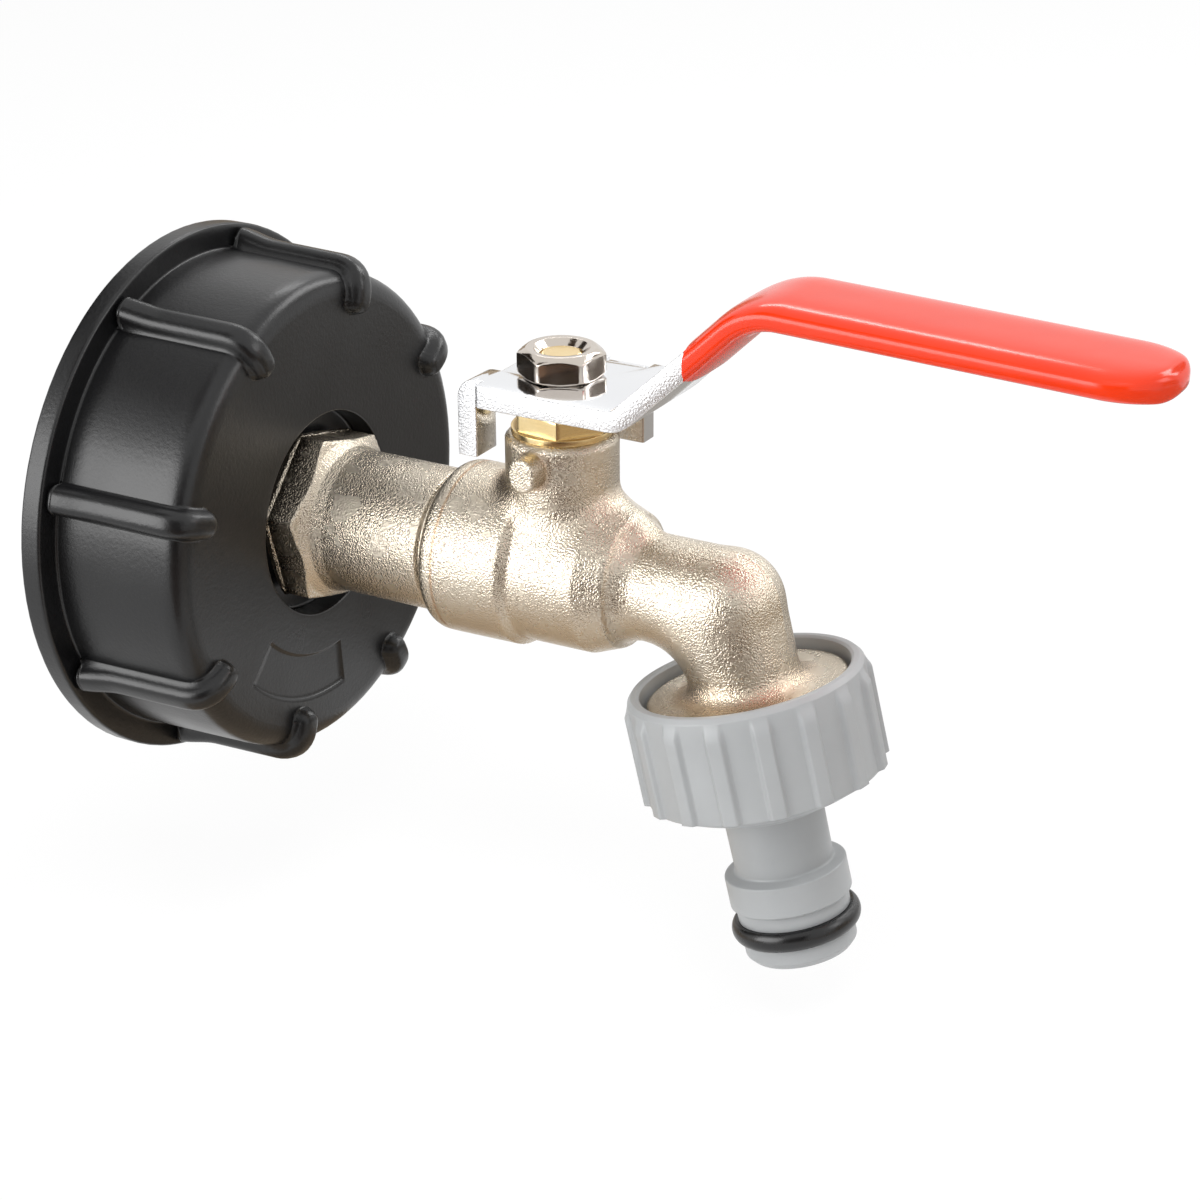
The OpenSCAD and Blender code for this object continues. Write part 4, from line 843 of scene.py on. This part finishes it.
# Greased nitrile rubber: deep black and shiny.
nitrile, tree, shader, place = new_finish("greased_nitrile_rubber")
smear = add(tree, "ShaderNodeTexNoise", Vector=place, Scale=1 / 0.002, Detail=2.0)
shine = add(tree, "ShaderNodeMapRange", Value=smear.outputs["Fac"], From_Min=0.3, From_Max=0.7,
            To_Min=0.24, To_Max=0.36)
tree.links.new(shine.outputs["Result"], shader.inputs["Roughness"])
shader.inputs["Base Color"].default_value = linear("#0C0C0D")
shader.inputs["IOR"].default_value = 1.52
columns = np.radians(np.arange(0, 360, 2.5))[None, :]
around_cord = np.radians(np.arange(0, 360, 10.0))[:, None]
cord_r = (groove_end - groove_start) / 2
# the squeezed cord swells over both edges of its groove
swell = cord_r + 0.3 * smooth(np.cos(around_cord), 0.12, 0.5)
s = groove_start + cord_r + swell * np.sin(around_cord)
r = groove_r + cord_r + cord_r * np.cos(around_cord)
grid_piece("nipple_o_ring_cord", about_spout(s, r, columns), "connector", ["nipple_o_ring"],
           nitrile)

# Studio: a pale floor, soft lamps and the camera at the photograph's angle. Plain cards, seen only
# in reflections, stand where a product photographer puts them to give metal its contrast.


def stage_plane(name, centre, size, turn, material):
    """A flat square in metres, centred at a point and turned by Euler angles."""
    mesh = bpy.data.meshes.new(name)
    h = size / 2
    mesh.from_pydata([(-h, -h, 0), (h, -h, 0), (h, h, 0), (-h, h, 0)], [], [(0, 1, 2, 3)])
    mesh.materials.append(material)
    plane = bpy.data.objects.new(name, mesh)
    bpy.context.scene.collection.objects.link(plane)
    plane.location = centre
    plane.rotation_euler = turn
    return plane


def directly_seen(tree):
    """1 where a ray comes from the camera, a reflection or glass, and 0 where it only brings light."""
    ray = add(tree, "ShaderNodeLightPath").outputs
    seen = ray["Is Camera Ray"]
    for kind in ("Is Glossy Ray", "Is Transmission Ray"):
        seen = add(tree, "ShaderNodeMath", {"operation": "MAXIMUM"}, i0=seen, i1=ray[kind]).outputs[0]
    return seen


# the floor clears the nose when the connector is screwed out
paper = bpy.data.materials.new("pale_paper_floor")
paper.use_nodes = True
tree = paper.node_tree
tree.nodes.clear()
plain = add(tree, "ShaderNodeBsdfDiffuse", Color=linear("#F4F4F4"))
glow = add(tree, "ShaderNodeEmission", Color=(1, 1, 1, 1), Strength=1.0)
share = add(tree, "ShaderNodeMath", {"operation": "MULTIPLY"}, i0=directly_seen(tree), i1=0.9)
mixed = add(tree, "ShaderNodeMixShader", Fac=share.outputs[0], i1=plain.outputs[0], i2=glow.outputs[0])
add(tree, "ShaderNodeOutputMaterial", Surface=mixed.outputs[0])
stage_plane("floor", (0.06, 0.0, -0.0600), 6.0, (0, 0, 0), paper)

world = bpy.data.worlds.new("studio")
bpy.context.scene.world = world
world.use_nodes = True
tree = world.node_tree
tree.nodes.clear()
dim = add(tree, "ShaderNodeBackground", Color=(1, 1, 1, 1), Strength=0.45)
white = add(tree, "ShaderNodeBackground", Color=(1, 1, 1, 1), Strength=1.0)
mixed = add(tree, "ShaderNodeMixShader", Fac=directly_seen(tree), i1=dim.outputs[0], i2=white.outputs[0])
add(tree, "ShaderNodeOutputWorld", Surface=mixed.outputs[0])


def lamp(name, place, target, size, power):
    """A square soft box at a place, aimed at a target, in metres and watts."""
    light = bpy.data.lights.new(name, "AREA")
    light.shape, light.size, light.energy = "SQUARE", size, power
    holder = bpy.data.objects.new(name, light)
    bpy.context.scene.collection.objects.link(holder)
    holder.location = place
    holder.rotation_euler = (Vector(target) - Vector(place)).to_track_quat("-Z", "Y").to_euler()
    return holder


key = lamp("key_softbox", (0.25, -0.35, 0.75), (0.07, 0, 0), 0.45, 4.8)
key.visible_glossy = False
lamp("left_softbox", (-0.29, -0.60, 0.10), (0.05, 0, 0), 0.55, 4.6)
lamp("right_softbox", (0.55, 0.10, 0.27), (0.08, 0, 0), 0.22, 0.4)
lamp("back_softbox", (0.35, 0.55, 0.45), (0.07, 0, 0), 0.4, 2.6)
# a long narrow lamp that hangs level draws the thin bright line on the grip's near edge
strip = lamp("strip_light", (-0.113, 0.316, 0.359), (-0.113, 0.316, 0.0), 0.22, 0.35)
strip.data.shape, strip.data.size_y, strip.rotation_euler = "RECTANGLE", 0.05, (0, 0, 0)


def card(name, colour, centre, size, target):
    """A square card that shows only in reflections, centred at a place and facing a target, in metres."""
    board = bpy.data.materials.new(name)
    board.use_nodes = True
    surface = board.node_tree.nodes["Principled BSDF"].inputs
    surface["Base Color"].default_value = linear(colour)
    surface["Roughness"].default_value = 0.9
    surface["Specular IOR Level"].default_value = 0.0
    plane = stage_plane(name, centre, size, (0, 0, 0), board)
    plane.rotation_euler = (Vector(target) - Vector(centre)).to_track_quat("Z", "Y").to_euler()
    plane.visible_camera = plane.visible_diffuse = plane.visible_shadow = False


card("table_front", "#6A5547", (0.25, -0.30, -0.053), 0.42, (0.25, -0.30, 1.0))
card("table_under", "#B8A894", (0.045, -0.012, -0.0525), 0.075, (0.045, -0.012, 1.0))
card("table_right", "#978874", (0.29, 0.05, -0.0525), 0.28, (0.29, 0.05, 1.0))
card("table_back", "#8E8A85", (0.11, 0.16, -0.0525), 0.20, (0.11, 0.16, 1.0))
card("camera_side", "#3E332B", (0.24, -0.42, 0.06), 0.34, (0.08, 0.0, 0.0))
card("table_wedge", "#140D0B", (0.205, -0.255, -0.0522), 0.10, (0.205, -0.255, 1.0))
card("ceiling_left", "#3F362E", (-0.14, -0.21, 0.40), 0.22, (0.06, 0.0, 0.0))
card("wall_right", "#A89986", (0.50, 0.14, -0.04), 0.26, (0.08, 0.0, -0.02))
card("wall_back", "#8E7F6C", (-0.22, 0.34, 0.04), 0.16, (0.09, 0.0, -0.01))
card("over_cap", "#2A2420", (-0.10, 0.0, 0.105), 0.10, (0.0646, 0.0, 0.03))
card("wall_far_right", "#5C534B", (0.224, 0.277, 0.172), 0.12, (0.0646, 0.0, 0.03))

# the camera as it was fitted to the photograph: where it stands, how it is rolled, what it looks at and
# its focal length in pixels of the picture's width
turn, height, roll = math.radians(-60.16), math.radians(23.70), math.radians(-0.29)
aim, distance, focal_px, picture_px = np.array([70.47, 0.0, -4.15]), 413.3, 2945.6, 1200
back = np.array([math.cos(turn) * math.cos(height), math.sin(turn) * math.cos(height), math.sin(height)])
right = np.array([-math.sin(turn), math.cos(turn), 0.0])
up = np.cross(back, right)
rows = np.array([right * math.cos(roll) + up * math.sin(roll),
                 up * math.cos(roll) - right * math.sin(roll), back])
lens = bpy.data.cameras.new("photo_camera")
lens.sensor_width, lens.lens = 36.0, 36.0 * focal_px / picture_px
lens.clip_start, lens.clip_end = 0.01, 20.0
camera = bpy.data.objects.new("photo_camera", lens)
bpy.context.scene.collection.objects.link(camera)
place = mm(aim + distance * back)
camera.matrix_world = Matrix([[*rows[:, k].tolist(), float(place[k])] for k in range(3)] + [[0, 0, 0, 1]])
bpy.context.scene.camera = camera
bpy.context.scene.view_settings.view_transform = "Standard"
